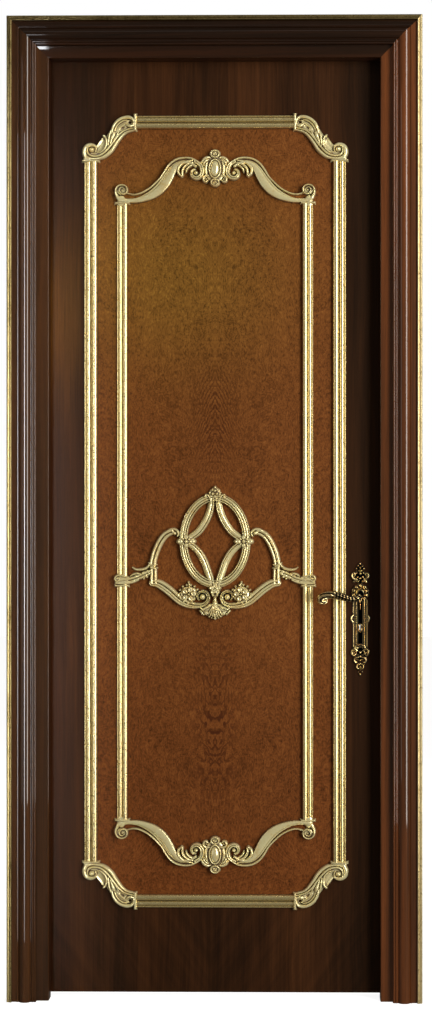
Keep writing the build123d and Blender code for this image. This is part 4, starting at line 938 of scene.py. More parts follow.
def swag_relief():
    R = Relief(-266, -24, 2038, 2170, 0.92).layer("swag")
    # collar over the inner moulding and the neck above it
    R.block(-257.0, -221.5, 2044.2, 2047.2, 13.2, 1.3)
    R.stroke([(-239.5, 2046.5), (-241, 2051), (-242, 2056)], [13, 11, 9], [11, 11, 11.5], bumps((0, 1.0, 1.0), base=0.5))
    # broad band: thin where it starts, widest on the way up
    R.stroke([(-253, 2066), (-248.5, 2057.5), (-237, 2053), (-218, 2051.8), (-198, 2053.8), (-179, 2060), (-160.5, 2069), (-144.5, 2081), (-131.5, 2096), (-120, 2113), (-109.5, 2130.5), (-97, 2144.5), (-81, 2150.5), (-64, 2148.5), (-50, 2140)],
             [3.4, 4.4, 4.8, 5.2, 6.2, 8.6, 11.2, 13, 13.6, 12.4, 10, 6.6, 4.6, 3.8, 3.4], [13.5, 13, 12.5, 12.5, 12.8, 13, 13.2, 13.4, 13.4, 13.2, 13, 13.6, 14.2, 14.5, 15],
             lambda u: 0.46 + 0.54 * np.sqrt(np.clip(1 - (np.clip(u + 0.18, -1.18, 1.18) / 1.18) ** 2, 0, 1)) - 0.16 * np.exp(-((u - 0.60) / 0.13) ** 2), lines=9, line_amp=0.14)
    # thin upper ridge, free of the band at first
    R.stroke([(-227, 2071.5), (-209, 2067.8), (-190, 2072), (-169, 2083.6), (-150.6, 2099.8), (-137.8, 2114), (-127.8, 2130.5), (-116, 2146.4), (-99.4, 2157.8), (-80.5, 2162), (-62, 2160.6), (-47, 2153.6), (-39, 2146)],
             [1.7, 2.1, 2.3, 2.4, 2.6, 2.8, 3.0, 3.1, 3.1, 2.9, 2.8, 2.8, 2.6], [10, 12, 13, 13.2, 13.4, 13.4, 13.4, 13.4, 13.4, 13, 13, 13.2, 13.5], p_round)
    R.stroke([(-142, 2101), (-131, 2117), (-120.5, 2134), (-106.5, 2148.5), (-90, 2155.5), (-72, 2156), (-54, 2149.5)], [2.6, 3.6, 4.2, 4.2, 3.6, 3.2, 3.0], [5.5, 6, 6, 6, 6, 6, 7], lambda u: np.ones(np.shape(u)))
    # leaf drop under the crest: three ribs curling down to a round tip
    R.stroke([(-58, 2155), (-76, 2151), (-89, 2142), (-95, 2131), (-93, 2121), (-87.5, 2115.5)], [2.6, 3.4, 4.0, 4.2, 3.8, 2.6], [12.5, 14.5, 15.5, 16, 15.5, 14], p_round)
    R.stroke([(-57, 2149), (-70, 2145), (-80, 2136.5), (-84, 2126), (-83.5, 2116)], [2.6, 3.4, 3.8, 3.6, 2.8], [13, 15.5, 16.5, 16, 14.5], p_round)
    R.stroke([(-56, 2143), (-65, 2139.5), (-72, 2132.5), (-74.5, 2124.5)], [2.2, 3.0, 3.0, 1.8], [12.5, 14.5, 14.5, 12.5], p_round)
    R.ball(-86.0, 2114.6, 4.0, 15.8)
    # inner volute: a thick rolled rim round its ball
    R.stroke([(-50, 2151), (-39.8, 2145.5), (-34.0, 2135), (-33.2, 2122.5), (-38.4, 2113.2), (-48, 2109.4), (-57.4, 2113.2), (-60.4, 2121.5), (-57.2, 2129.5), (-51, 2131.5)],
             [4.6, 5.2, 5.4, 5.4, 5.2, 5.0, 4.4, 3.8, 3.2, 2.2], [13.5, 14.5, 15.5, 16, 16.5, 16.5, 16, 15, 13.5, 12], bumps((-0.46, 0.54, 1.0), (0.5, 0.5, 0.95), base=0.5))
    R.ball(-48.6, 2122.4, 6.0, 18.0)
    # end volute: a fine ridge winding in over a low disc
    R.ball(-240.4, 2080.8, 13.6, 8.0, power=6.0, base=5.0)
    R.stroke([(-237, 2054), (-249, 2059), (-255.2, 2069), (-255.6, 2080), (-250.2, 2089), (-240.4, 2092.4), (-230.8, 2089.2), (-226.2, 2081.2), (-227.8, 2073.2), (-234.4, 2069.2), (-241.6, 2070.8), (-246, 2076.8), (-245, 2083.2), (-239.6, 2086), (-234.8, 2082.8)],
             [4.4, 4.0, 3.4, 2.8, 2.4, 2.3, 2.2, 2.2, 2.1, 2.1, 2.0, 1.9, 1.8, 1.7, 1.5], [12, 13.5, 14.5, 15, 15, 15, 15, 15, 14.6, 14.4, 14.2, 14, 13.8, 13.6, 13.4], p_round)
    R.ball(-238.6, 2079.0, 2.6, 14.4)
    return R


def cartouche_relief():
    R = Relief(-42, 42, 2078, 2192, 0.85).layer("cartouche")
    cz = 2133.0
    R.ball(0, cz, 28, 10.5, 35, power=4.0, base=5.0)
    # the cabochon and its rim
    ring = [(14.3 * math.cos(a), cz + 23.4 * math.sin(a)) for a in np.linspace(0, 2 * math.pi, 49)]
    R.stroke(ring, 3.0, 17.0, p_round)
    R.ball(0, cz, 11.8, 20.5, 20.6, power=2.4, base=11.0)
    # a round knob above and one below, each a rolled rim round small beads
    for zc, k in ((2171.5, 1.0), (2098.0, 0.92)):
        R.ball(0, zc, 13.4 * k, 12.0, 11.6 * k, power=4.0, base=8.0)
        R.stroke([(10.6 * k * math.cos(a), zc + 8.9 * k * math.sin(a)) for a in np.linspace(0, 2 * math.pi, 33)], 2.7, 15.8, p_round)
        for a in (90, 210, 330):
            R.ball(4.0 * k * math.cos(math.radians(a)), zc + 3.4 * k * math.sin(math.radians(a)), 3.0 * k, 15.8)
    for m in (-1, 1):
        # folded leaf at the shoulder, waist lobe, curl at the hip
        R.stroke([(m * 13, 2161.5), (m * 20, 2162), (m * 28, 2157.8), (m * 33.4, 2150.5)], [3.2, 4.6, 5.0, 3.6], [13, 15.2, 15.2, 13.5], p_round)
        R.stroke([(m * 17, 2156), (m * 23, 2154), (m * 27.6, 2148.5), (m * 28.6, 2142.5)], [2.6, 3.4, 3.4, 2.4], [12.8, 14.2, 13.8, 12], p_round)
        R.stroke([(m * 19.5, 2150), (m * 22.4, 2141), (m * 23.2, 2131), (m * 21.6, 2119)], [3.2, 4.6, 4.8, 4.0], [12.5, 14, 14, 13.5], p_round)
        R.stroke([(m * 16, 2115.5), (m * 24.5, 2114.5), (m * 29.4, 2108.6), (m * 28.2, 2101.6), (m * 22.4, 2099.6), (m * 18.2, 2103.4)], [3.2, 3.5, 3.5, 3.3, 2.9, 2.2], [12.5, 14, 14.6, 14.6, 14, 13], p_round)
        R.ball(m * 22.8, 2106.6, 2.8, 14.0)
    return R


def centre_relief():
    R = Relief(-268, 268, 964, 1326, 0.96)
    oz, rx, rz, band = 1176.0, 91.0, 121.0, 19.0

    def cluster(x, z, items, base=None):
        if base:
            R.ball(x, z, base[0], base[2], base[1], power=3.5, base=base[2] * 0.55)
        for ox, oz_, r, top in items:
            R.ball(x + ox, z + oz_, r, top)

    def petals(x, z, dist, long, wide, top, count, start=90.0, hollow=1.8, squash=1.0):
        for i in range(count):
            a = start + 360.0 * i / count
            px, pz = x + dist * math.cos(math.radians(a)), z + dist * squash * math.sin(math.radians(a))
            R.ball(px, pz, long, top, wide, a, power=2.6, base=top - 7.0)
            if hollow:
                R.dish(px, pz, long * 0.55, hollow, wide * 0.5, a)

    def arc_section(m):
        """Thin bright ridge on the lozenge's side, then two lower reeds and a
        broad cove on the other side."""
        def f(u):
            v = -m * u
            h = 0.44 + 0.20 * np.clip((-v - 0.1) / 0.9, 0, 1) ** 1.5
            for c, r, t in ((0.82, 0.18, 1.0), (0.42, 0.20, 0.84), (0.02, 0.18, 0.72)):
                h = np.maximum(h, 0.40 + (t - 0.40) * np.sqrt(np.clip(1 - ((v - c) / r) ** 2, 0, 1)))
            return h
        return f

    # ring: a broad fluted band between two fine ridges
    R.layer("oval")
    ring = [((rx - band / 2) * math.cos(a), oz + (rz - band / 2) * math.sin(a)) for a in np.linspace(-math.pi / 2, 1.5 * math.pi, 121)]
    R.stroke(ring, band / 2 + 0.2, 13.0, bumps((-0.86, 0.14, 0.94), (-0.34, 0.34, 1.0), (0.26, 0.26, 0.92), (0.84, 0.16, 0.98), base=0.52), lines=13, line_amp=0.22)
    for m in (-1, 1):
        high = [(m * 8.5, 1284), (m * 9.8, 1268), (m * 14.5, 1248), (m * 25, 1224), (m * 41, 1201), (m * 58, 1187), (m * 72, 1180)]
        low = [(m * 72, 1170), (m * 56, 1161), (m * 40, 1144), (m * 27.5, 1122), (m * 18, 1096), (m * 11, 1074), (m * 9, 1058)]
        for run in (high, low):
            R.stroke(run, [7.0, 7.6, 8.2, 8.6, 8.4, 8.0, 7.2], [13.5, 13, 12.4, 12, 12, 12.2, 12.6], bumps((-0.70 * m, 0.26, 1.0), (0.20 * m, 0.62, 0.92), base=0.50))
        # the high arcs curl outward over the ring's head
        R.stroke([(m * 10.5, 1272), (m * 12.5, 1284), (m * 17.5, 1292.5), (m * 24, 1294.5)], [2.2, 2.8, 3.0, 2.6], [14, 16, 17, 17], p_round)
        R.ball(m * 24.2, 1290.6, 4.8, 19.5)
    # finial: a pyramid of berries
    cluster(0, 1297, [(0, 16.5, 4.2, 16.5), (-6.6, 9.4, 4.2, 16.5), (6.6, 9.4, 4.2, 16.5), (0, 7.6, 4.6, 19), (-13.0, 2.0, 4.2, 16), (13.0, 2.0, 4.2, 16),
                      (-5.6, -0.6, 4.8, 19), (5.6, -0.6, 4.8, 19), (0, -7.4, 5.0, 19), (-11, -6.5, 4.0, 16.5), (11, -6.5, 4.0, 16.5)], (15, 16, 11))
    R.stroke([(-6.5, 1284), (0, 1280.5), (6.5, 1284)], [1.8, 2.6, 1.8], [15, 17, 15], p_round)
    R.dish(0, 1274.5, 5.0, 6.0, 4.0)
    # side rosettes: rounded leaves round a bud
    for m in (-1, 1):
        cx = m * 74
        cluster(cx, 1174, [], (21, 15, 12))
        for ox, oz_, lr, wr in ((-15.5, 0, 8.0, 6.6), (15.5, 0, 8.0, 6.6)):
            R.ball(cx + ox, 1174 + oz_, lr, 17.5, wr, power=2.6, base=11)
            R.dish(cx + ox, 1174 + oz_, lr * 0.5, 1.8, wr * 0.5)
        petals(cx, 1174, 10.5, 6.2, 5.4, 17.5, 2, 90.0, 1.4)
        for a in (42, 138, 222, 318):
            R.ball(cx + 10.5 * math.cos(math.radians(a)), 1174 + 9.0 * math.sin(math.radians(a)), 4.6, 17.5)
        R.ball(cx, 1174, 6.4, 21.0)
    # brackets
    for side, m in (("left", -1), ("right", 1)):
        R.layer(f"arm_{side}")
        edge = bumps((-0.58 * m, 0.40, 0.94), (0.52 * m, 0.44, 1.0), base=0.52)
        # the stem hooks over a ball beside the ring
        R.stroke([(m * 112, 1198.5), (m * 121, 1195), (m * 131, 1187.5), (m * 142, 1172), (m * 151.5, 1151), (m * 158, 1130), (m * 160.5, 1113)], [7.4, 8.4, 8.8, 9.0, 9.0, 8.8, 8.6], [12.5, 12.8, 12.8, 12.8, 12.6, 12.5, 12.5], edge, lines=9, line_amp=0.12)
        R.stroke([(m * 122, 1201), (m * 113, 1205.4), (m * 103.5, 1205.2), (m * 96.0, 1200.4), (m * 93.6, 1193.4), (m * 97.0, 1187.6)], [3.2, 3.6, 3.7, 3.5, 3.1, 2.4], [13, 14, 14.8, 15.2, 15, 14], p_round)
        R.ball(m * 103.6, 1195.0, 5.6, 18.0)
        # ribbon wound round the stem's foot
        R.stroke([(m * 150.5, 1114), (m * 158, 1112.5), (m * 166, 1114.5), (m * 171, 1119)], [2.2, 2.8, 2.8, 1.8], [13.5, 15.5, 15.5, 14], p_round)
        R.stroke([(m * 149, 1106), (m * 157, 1104.6), (m * 165.5, 1106.6)], [2.2, 2.8, 2.2], [13, 15, 13.5], p_round)
        R.stroke([(m * 158.5, 1104), (m * 158.4, 1092), (m * 158.4, 1080), (m * 158.4, 1066)], [8.6, 8.8, 9.2, 9.6], [12.5, 12.8, 13, 13], bumps((-0.6 * m, 0.4, 0.94), (0.5 * m, 0.46, 1.0), base=0.36), cap=False)
        lower = [(m * 162, 1067), (m * 150, 1066.5), (m * 137, 1060.5), (m * 120, 1048.5), (m * 103, 1033.5), (m * 88, 1021), (m * 70, 1012.5), (m * 50, 1008.6), (m * 33, 1010.4), (m * 21.5, 1017.6), (m * 17.0, 1029.5), (m * 21.2, 1041), (m * 32.4, 1045.6), (m * 42.4, 1040.8), (m * 45.4, 1031.5), (m * 41, 1024.5)]
        R.stroke(lower, [8, 10, 11.2, 11.4, 11.2, 10.8, 9.4, 7.4, 5.6, 4.6, 4.0, 3.7, 3.4, 3.0, 2.6, 2.0], [12.5, 13, 13, 13, 13, 13.2, 13.6, 14.5, 16, 17.5, 18.5, 18.5, 18.5, 18, 17, 16],
                 bumps((0.72 * m, 0.28, 1.0), (0.20 * m, 0.30, 0.90), (-0.60 * m, 0.36, 0.98), base=0.52), lines=9, line_amp=0.12)
        R.ball(m * 31.8, 1031.2, 8.2, 21.5)
        # leaf that curls off the ribbon
        R.stroke([(m * 168, 1119), (m * 171.5, 1111), (m * 180, 1104.5), (m * 193, 1101.6), (m * 205, 1102.4), (m * 212.5, 1106.8)], [2.2, 3.2, 3.8, 3.8, 3.0, 1.8], [13, 14, 14.5, 13.5, 12.5, 12], p_round)
        # clasp: a ragged leaf falling to the moulding, wrapped round it
        R.stroke([(m * 165, 1097), (m * 178, 1091), (m * 194, 1084), (m * 211, 1077), (m * 228, 1073)], [6, 8.2, 8.6, 8.2, 8], [11, 12, 12.5, 14, 15], bumps((0.55, 0.42, 1.0), (-0.4, 0.5, 0.92), base=0.5), leaf=(11.0, 0.35, 0.3))
        for x, z, r, t in ((176, 1083, 4.2, 16.5), (183.5, 1078.5, 3.6, 15.5), (186, 1092, 3.4, 15.5), (171, 1093, 3.2, 15)):
            R.ball(m * x, z, r, t)
        R.stroke([(m * 190, 1089), (m * 201, 1091.4), (m * 211, 1089.4), (m * 218, 1084)], [2.0, 3.0, 3.0, 1.8], [14, 16, 16, 14.5], p_round)
        R.stroke([(m * 203, 1083), (m * 216, 1078.6), (m * 232, 1076.4), (m * 245, 1075.6)], [3, 3.6, 4.0, 3.6], [14.5, 16, 17, 16.8], p_round)
        R.stroke([(m * 198, 1074.5), (m * 212, 1069), (m * 228, 1066.4), (m * 246, 1066.6), (m * 256, 1069)], [2.4, 3.2, 3.8, 3.8, 2.6], [12, 14, 15.5, 15.5, 14.5], p_round)
        R.block(min(m * 223.0, m * 256.5), max(m * 223.0, m * 256.5), 1064.5, 1082.0, 13.6, 2.6)
        R.stroke([(m * 222, 1081), (m * 236, 1085.2), (m * 248, 1087.0), (m * 256, 1083.2), (m * 257.6, 1076.4), (m * 252.4, 1071.8), (m * 246.6, 1074.4), (m * 246.8, 1079.6)], [2.6, 3.2, 3.1, 2.9, 2.7, 2.4, 2.1, 1.7], [14.5, 16, 17, 17.4, 17.4, 17.2, 17, 16.8], p_round)
        R.ball(m * 250.6, 1078.0, 2.6, 17.8)
        R.block(min(m * 222.6, m * 257.4), max(m * 222.6, m * 257.4), 1058.6, 1061.8, 14.0, 1.3)
        # flowers: cupped petals and berries
        R.layer(f"flower_{side}")
        cx, cz = m * 67.0, 1038.0
        cluster(cx, cz, [], (22, 20, 12))
        petals(cx, cz, 12.0, 7.6, 6.6, 18.5, 5, 90 + 14 * m, 2.4)
        for i in range(6):
            a = math.radians(60 * i + 20)
            R.ball(cx + 6.4 * math.cos(a), cz + 6.4 * math.sin(a), 2.9, 21.5)
        R.ball(cx, cz, 4.2, 24.0)
        for i, (x, z, r, t) in enumerate(((-23, 11, 3.6, 16), (-16, 20, 3.6, 16.5), (-6, 24, 3.4, 16), (4, 23.5, 3.8, 16.5), (14, 20, 3.6, 16), (21.5, 12, 3.6, 16), (-25.5, 1, 3.4, 15), (-22, -10, 3.6, 16), (-13, -19, 3.8, 16.5), (-3, -22.5, 3.6, 16.5), (8, -20.5, 3.4, 16.5), (-1, 31.5, 3.2, 15))):
            R.ball(cx - m * x, cz + z, r, t)
        R.stroke([(cx, cz + 14), (cx - m * 1, cz + 24), (cx + m * 1, cz + 30)], [3, 2.6, 2.0], [12, 13, 12], p_round)
    # flower and drop between the scrolls, and the shell under them
    R.layer("shell")
    cluster(0, 1052, [], (14, 14, 11))
    petals(0, 1052, 8.8, 6.6, 5.8, 18.5, 5, 90.0, 2.8)
    R.ball(0, 1052, 3.4, 18.5)
    for m in (-1, 1):
        R.ball(m * 5.4, 1036.5, 4.0, 17.5, 6.0, m * -14)
    R.stroke([(0, 1040), (0, 1026), (0, 1012)], [4.5, 4.0, 7.0], [11, 11, 11], p_round)
    R.ball(0, 1028.5, 3.8, 17.5)
    R.ball(0, 1019.0, 3.4, 15.5)
    R.ball(0, 996.5, 33, 10.5, 17, power=3.0, base=6.0)
    # a ribbed fan with a bead at its foot, and curls beside it
    for i in range(7):
        t = (i - 3) / 3.0
        R.stroke([(t * 3.4, 1010.5), (t * 8.5, 1001.5), (t * 17.0, 988.0 - 6.5 * (1 - t * t))], [1.5, 2.1, 3.0], [14.5, 17.0, 16.5], p_round)
    R.ball(0, 975.8, 4.4, 17.5)
    for m in (-1, 1):
        R.ball(m * 8.6, 977.6, 2.8, 14.5)
        R.ball(m * 22.5, 989.5, 6.2, 16.5)
        R.dish(m * 22.5, 989.5, 3.2, 2.6)
        R.ball(m * 14.8, 981.0, 3.4, 15.0)
        R.stroke([(m * 13, 1007), (m * 23, 1003.5), (m * 31, 999.0), (m * 36.5, 1002.0)], [2.4, 3.6, 3.8, 2.4], [13, 15, 15, 13], p_round)
        R.stroke([(m * 29.5, 985.5), (m * 34, 991.0), (m * 38.5, 996.0)], [2.2, 3.0, 2.2], [13, 14.5, 13], p_round)
    return R


def mark(name):
    print("scene:", name, flush=True)


mark("reliefs")
corner = corner_relief()
swag = swag_relief()
cart = cartouche_relief()
for vert, mz in (("top", False), ("bottom", True)):
    for side, mx in (("left", False), ("right", True)):
        carve(corner, [("corner", f"corner_carving_{vert}_{side}", (f"corner_scroll_{vert}_{side}",))], gilt_carving_mat, "leaf", (mx, mz))
        carve(swag, [("swag", f"swag_carving_{vert}_{side}", (f"swag_{vert}_{side}",))], gilt_carving_mat, "leaf", (mx, mz))
    carve(cart, [("cartouche", f"cartouche_carving_{vert}", (f"cartouche_{vert}",))], gilt_carving_mat, "leaf", (False, mz))
centre = centre_relief()
carve(centre, [
    ("oval", "centre_oval_carving", ("centre_oval",)),
    ("arm_left", "centre_arm_carving_left", ("centre_arm_left",)), ("arm_right", "centre_arm_carving_right", ("centre_arm_right",)),
    ("flower_left", "centre_flower_carving_left", ("centre_flower_left",)), ("flower_right", "centre_flower_carving_right", ("centre_flower_right",)),
    ("shell", "centre_shell_carving", ("centre_shell",)),
], gilt_carving_mat, "leaf")


# -------------------------------------------------------------- handle plates
LX, LZ = 374.0, 1042.0


def plate_relief():
    R = Relief(LX - 27, LX + 27, 820, 1130, 0.72).layer("plate")
    # body: bevelled edge, rails, a pearl row each side and a sunk middle strip
    R.block(LX - 19, LX + 19, 880, 1024, 4.0, 1.6)
    win = R.window(LX - 17, LX + 17, 884, 1022)
    a = np.abs(R.X[win] - LX)
    h = np.where(a < 6.0, 1.0, np.where(a < 7.4, 3.6, np.where(a < 14.4, 1.6, 4.2)))
    R.layers["plate"][win] = np.where(a >= 16.4, 3.0, h)
    for z in np.arange(886, 1023, 5.0):
        for m in (-1, 1):
            R.ball(LX + m * 10.6, z, 2.7, 6.4, base=1.4)
    for m in (-1, 1):
        R.stroke([(LX + m * 17, 966), (LX + m * 21.6, 970), (LX + m * 23, 976), (LX + m * 21, 981.5), (LX + m * 16.6, 984)], [1.6, 2.4, 2.8, 2.4, 1.6], [4.5, 6, 7, 6, 4.5], p_round)
        R.ball(LX + m * 19.6, 976, 2.4, 7.6)
        R.ball(LX + m * 18.4, 1012, 2.2, 6.0)
    # foot of the strip: an arch over the lower ornament
    R.stroke([(LX - 15, 896), (LX - 11.5, 904.5), (LX, 909), (LX + 11.5, 904.5), (LX + 15, 896)], [2.0, 2.3, 2.5, 2.3, 2.0], [6, 7, 7.6, 7, 6], p_round)
    # lower ornament: knobs and curled leaves that close to a bead
    R.ball(LX, 886, 16, 3.4, 19, power=4.0, base=2.0)
    for m in (-1, 1):
        R.stroke([(LX + m * 7, 893), (LX + m * 14, 897), (LX + m * 20.5, 893), (LX + m * 21, 885), (LX + m * 16.5, 880.5), (LX + m * 12.4, 883.5)], [2.4, 2.8, 3.0, 2.7, 2.3, 1.6], [6.4, 7.6, 8, 7.6, 7, 6], p_round)
        R.ball(LX + m * 15.4, 888, 2.4, 8.2)
        R.stroke([(LX + m * 4, 876), (LX + m * 11, 875), (LX + m * 15, 869), (LX + m * 12, 862.5), (LX + m * 7.6, 864)], [2.2, 2.7, 2.7, 2.3, 1.6], [6, 7, 7, 6.4, 5.4], p_round)
        R.stroke([(LX + m * 2.6, 858), (LX + m * 8.0, 856), (LX + m * 8.6, 849), (LX + m * 4.6, 846)], [1.8, 2.3, 2.1, 1.5], [5.6, 6.4, 6, 5], p_round)
        R.ball(LX + m * 4.4, 838.5, 2.2, 5.8)
    for z, r, t in ((889, 4.6, 9.4), (878.5, 3.6, 8.4), (869, 3.2, 8.4), (860, 2.8, 7.6), (851.5, 2.6, 7.0), (843.5, 2.3, 6.4), (831.5, 3.4, 6.6)):
        R.ball(LX, z, r, t)
    # drop under the boss
    for z, r in ((1019, 3.4), (1011.5, 2.9), (1005.5, 2.5), (1000.5, 2.0)):
        R.ball(LX, z, r, 6.4, base=1.0)
    # crown: a pile of knobs between two curled wings
    R.ball(LX, 1084, 13, 3.4, 20, power=4.0, base=2.0)
    R.ball(LX, 1100, 9, 3.4, 17, power=4.0, base=2.0)
    for x, z, r, t in ((0, 1117, 3.4, 7.6), (-5.6, 1111, 3.0, 7.6), (5.6, 1111, 3.0, 7.6), (0, 1107, 3.4, 9.0), (-9.4, 1103.6, 3.0, 7.4), (9.4, 1103.6, 3.0, 7.4),
                       (-3.6, 1099.4, 3.2, 9.0), (4.0, 1099.0, 3.2, 9.0), (0, 1091, 4.2, 10), (-8.6, 1093, 3.2, 8), (8.6, 1093, 3.2, 8), (-6.6, 1083, 3.4, 8.6), (6.6, 1083, 3.4, 8.6), (0, 1079, 3.4, 9)):
        R.ball(LX + x, z, r, t)
    for m in (-1, 1):
        R.stroke([(LX + m * 9, 1077), (LX + m * 16, 1078), (LX + m * 20.8, 1083.5), (LX + m * 19.8, 1090.5), (LX + m * 14.6, 1092), (LX + m * 12.6, 1087.5)], [2.4, 2.8, 2.9, 2.6, 2.2, 1.6], [6.6, 7.8, 8, 7.6, 7, 6], p_round)
        R.ball(LX + m * 15.4, 1084.8, 2.2, 7.8)
        R.stroke([(LX + m * 5, 1072), (LX + m * 12, 1072.6), (LX + m * 17.5, 1070)], [2.4, 2.6, 1.8], [7, 7.4, 6], p_round)
    # rosette round the spindle
    R.ball(LX, LZ, 21.5, 5.0, power=4.0, base=3.0)
    for i in range(10):
        a = 36 * i + 18
        ca, sa = math.cos(math.radians(a)), math.sin(math.radians(a))
        R.ball(LX + 17.6 * ca, LZ + 17.6 * sa, 5.0, 9.2, 4.4, a, power=2.4, base=4.0)
        R.dish(LX + 18.4 * ca, LZ + 18.4 * sa, 2.0, 1.6)
    for i in range(10):
        a = math.radians(36 * i)
        R.ball(LX + 13.6 * math.cos(a), LZ + 13.6 * math.sin(a), 2.2, 9.6)
    R.ball(LX, LZ, 11.6, 9.0, power=6.0, base=6.0)
    # keyhole with a raised rim, and the countersunk screws' seats
    R.stroke([(LX, 945), (LX, 957)], [5.0, 5.4], [2.4, 2.4], bumps((-0.82, 0.18, 1.0), (0.82, 0.18, 1.0), base=0.42))
    H = R.layers["plate"]
    dx, dz = R.X - LX, R.Z
    key = (np.hypot(dx, dz - 956) < 3.0) | ((np.abs(dx) < 1.9) & (dz > 943.5) & (dz < 956))
    H[key] = -4.0
    for z in (1098.0, 850.0):
        H[np.hypot(dx, dz - z) < 3.9] = np.minimum(H[np.hypot(dx, dz - z) < 3.9], 3.0)
    return R


mark("handle plates")
plate = plate_relief()
carve(plate, [("plate", "handle_plate_front_relief", ("handle_plate_front",))], antique_mat, "leaf", reach=1.6, cavity=1.3)
carve(plate, [("plate", "handle_plate_back_relief", ("handle_plate_back",))], antique_mat, "leaf", y0=LEAF_BACK_Y, back=True, reach=1.6, cavity=1.3)


# --------------------------------------------------------------------- levers
def lever_mesh(name, back):
    # centre line: (x from the spindle, off the leaf's face, z from it), then
    # the half height and half depth of the section
    rows = np.array([
        (0, 9.8, 0, 8.2, 8.2), (0, 20, 0, 7.6, 7.6), (0, 30, 0, 7.8, 7.8), (-1, 39, -2, 8.4, 8.0), (-6, 46, -8, 8.2, 8.0), (-18, 49.5, -14.5, 6.6, 6.8),
        (-37, 50, -11.5, 8.4, 7.8), (-52, 50, -7, 9.4, 8.0), (-66, 50, -3.6, 9.8, 8.2), (-80, 50, -3.6, 10.4, 8.6), (-91, 49.5, -6.8, 11.2, 9.4),
        (-100.5, 49, -12.5, 10.8, 9.6), (-101.5, 48.5, -19.5, 8.6, 9.0), (-96, 48.5, -22.5, 6.0, 6.8), (-90, 48.5, -20, 4.4, 5.0), (-89, 48.5, -15, 2.8, 3.4),
    ], float)
    n_around, spacing = 56, 0.9
    seg, which = [], []
    p = rows[:, :3]
    ext = np.vstack([2 * p[0] - p[1], p, 2 * p[-1] - p[-2]])
    for i in range(len(p) - 1):
        a, b, c, d = ext[i], ext[i + 1], ext[i + 2], ext[i + 3]
        for t in np.linspace(0, 1, 16, endpoint=False):
            seg.append(0.5 * (2 * b + (c - a) * t + (2 * a - 5 * b + 4 * c - d) * t**2 + (3 * b - a - 3 * c + d) * t**3))
            which.append(i + t)
    seg.append(p[-1]); which.append(len(p) - 1.0)
    seg, which = np.array(seg), np.array(which)
    s = np.r_[0, np.cumsum(np.linalg.norm(np.diff(seg, axis=0), axis=1))]
    n = int(s[-1] / spacing)
    S = np.linspace(0, s[-1], n)
    C = np.stack([np.interp(S, s, seg[:, k]) for k in range(3)], 1)
    w = np.interp(S, s, which)
    ra = np.interp(w, np.arange(len(rows)), rows[:, 3])
    rb = np.interp(w, np.arange(len(rows)), rows[:, 4])
    T = np.gradient(C, axis=0)
    T /= np.linalg.norm(T, axis=1)[:, None]
    up = np.array([0.0, 0.0, 1.0])
    N = np.zeros_like(T)
    prev = up
    for i in range(n):
        v = prev - T[i] * (prev @ T[i])
        v /= np.linalg.norm(v)
        N[i] = v
        prev = v
    B = np.cross(T, N)
    th = np.linspace(0, 2 * np.pi, n_around, endpoint=False)
    verts, rel = [], []
    L = S[-1]
    for i in range(n):
        at = S[i]
        # overlapping leaves along the grip, plain on the neck
        grow = min(1.0, max(0.0, (at - 34.0) / 8.0))
        tip = min(1.0, max(0.0, (at - (L - 66.0)) / 12.0))
        pitch = 8.5
        saw = (at / pitch + 0.34 * np.abs(np.sin(th))) % 1.0
        leafy = (np.clip(saw / 0.86, 0, 1) ** 1.4 - (saw > 0.86) * (saw - 0.86) / 0.14) * 0.75 - 0.24
        flutes = 0.70 * np.cos(6 * th + at * 0.16)
        veins = 0.32 * np.cos(9 * th + at * 0.05)
        bumpy = grow * ((1 - tip) * (leafy + veins) + tip * (leafy * 0.8 + flutes * 1.3))
        a = ra[i] + bumpy
        b = rb[i] + bumpy
        q = C[i] + np.outer(np.cos(th) * a, N[i]) + np.outer(np.sin(th) * b, B[i])
        verts.append(q)
        rel.append(np.clip(0.50 + bumpy * 0.16 + tip * (0.10 + bumpy * 0.05), 0, 1))
    verts = np.concatenate(verts)
    rel = np.concatenate(rel)
    faces = []
    for i in range(n - 1):
        for j in range(n_around):
            k = (j + 1) % n_around
            faces.append([i * n_around + j, i * n_around + k, (i + 1) * n_around + k, (i + 1) * n_around + j])
    faces.append(list(range(n_around))[::-1])
    # rounded end
    m = (n - 1) * n_around
    c = len(verts)
    verts = np.vstack([verts, C[-1] + T[-1] * 1.6])
    rel = np.r_[rel, 0.6]
    for j in range(n_around):
        faces.append([m + j, m + (j + 1) % n_around, c])
    # ball in the tip's curl and the fluted collar on the neck
    def lathe(points, centre, axis, fl, flutes, steps=48):
        nonlocal verts, rel, faces
        start = len(verts)
        out, rr = [], []
        for h, r in points:
            for j in range(steps):
                t = 2 * math.pi * j / steps
                k = 1 + fl * abs(math.cos(flutes * t / 2)) if fl else 1.0
                if axis == "Y":
                    out.append((centre[0] + r * k * math.cos(t), centre[1] + h, centre[2] + r * k * math.sin(t)))
                rr.append(0.48 + 0.16 * (k - 1) / max(fl, 1e-6) if fl else 0.64)
        verts = np.vstack([verts, np.array(out)])
        rel = np.r_[rel, rr]
        for i in range(len(points) - 1):
            for j in range(steps):
                k = (j + 1) % steps
                faces.append([start + i * steps + j, start + (i + 1) * steps + j, start + (i + 1) * steps + k, start + i * steps + k])
        faces.append([start + j for j in range(steps)])
        faces.append([start + (len(points) - 1) * steps + j for j in range(steps)][::-1])

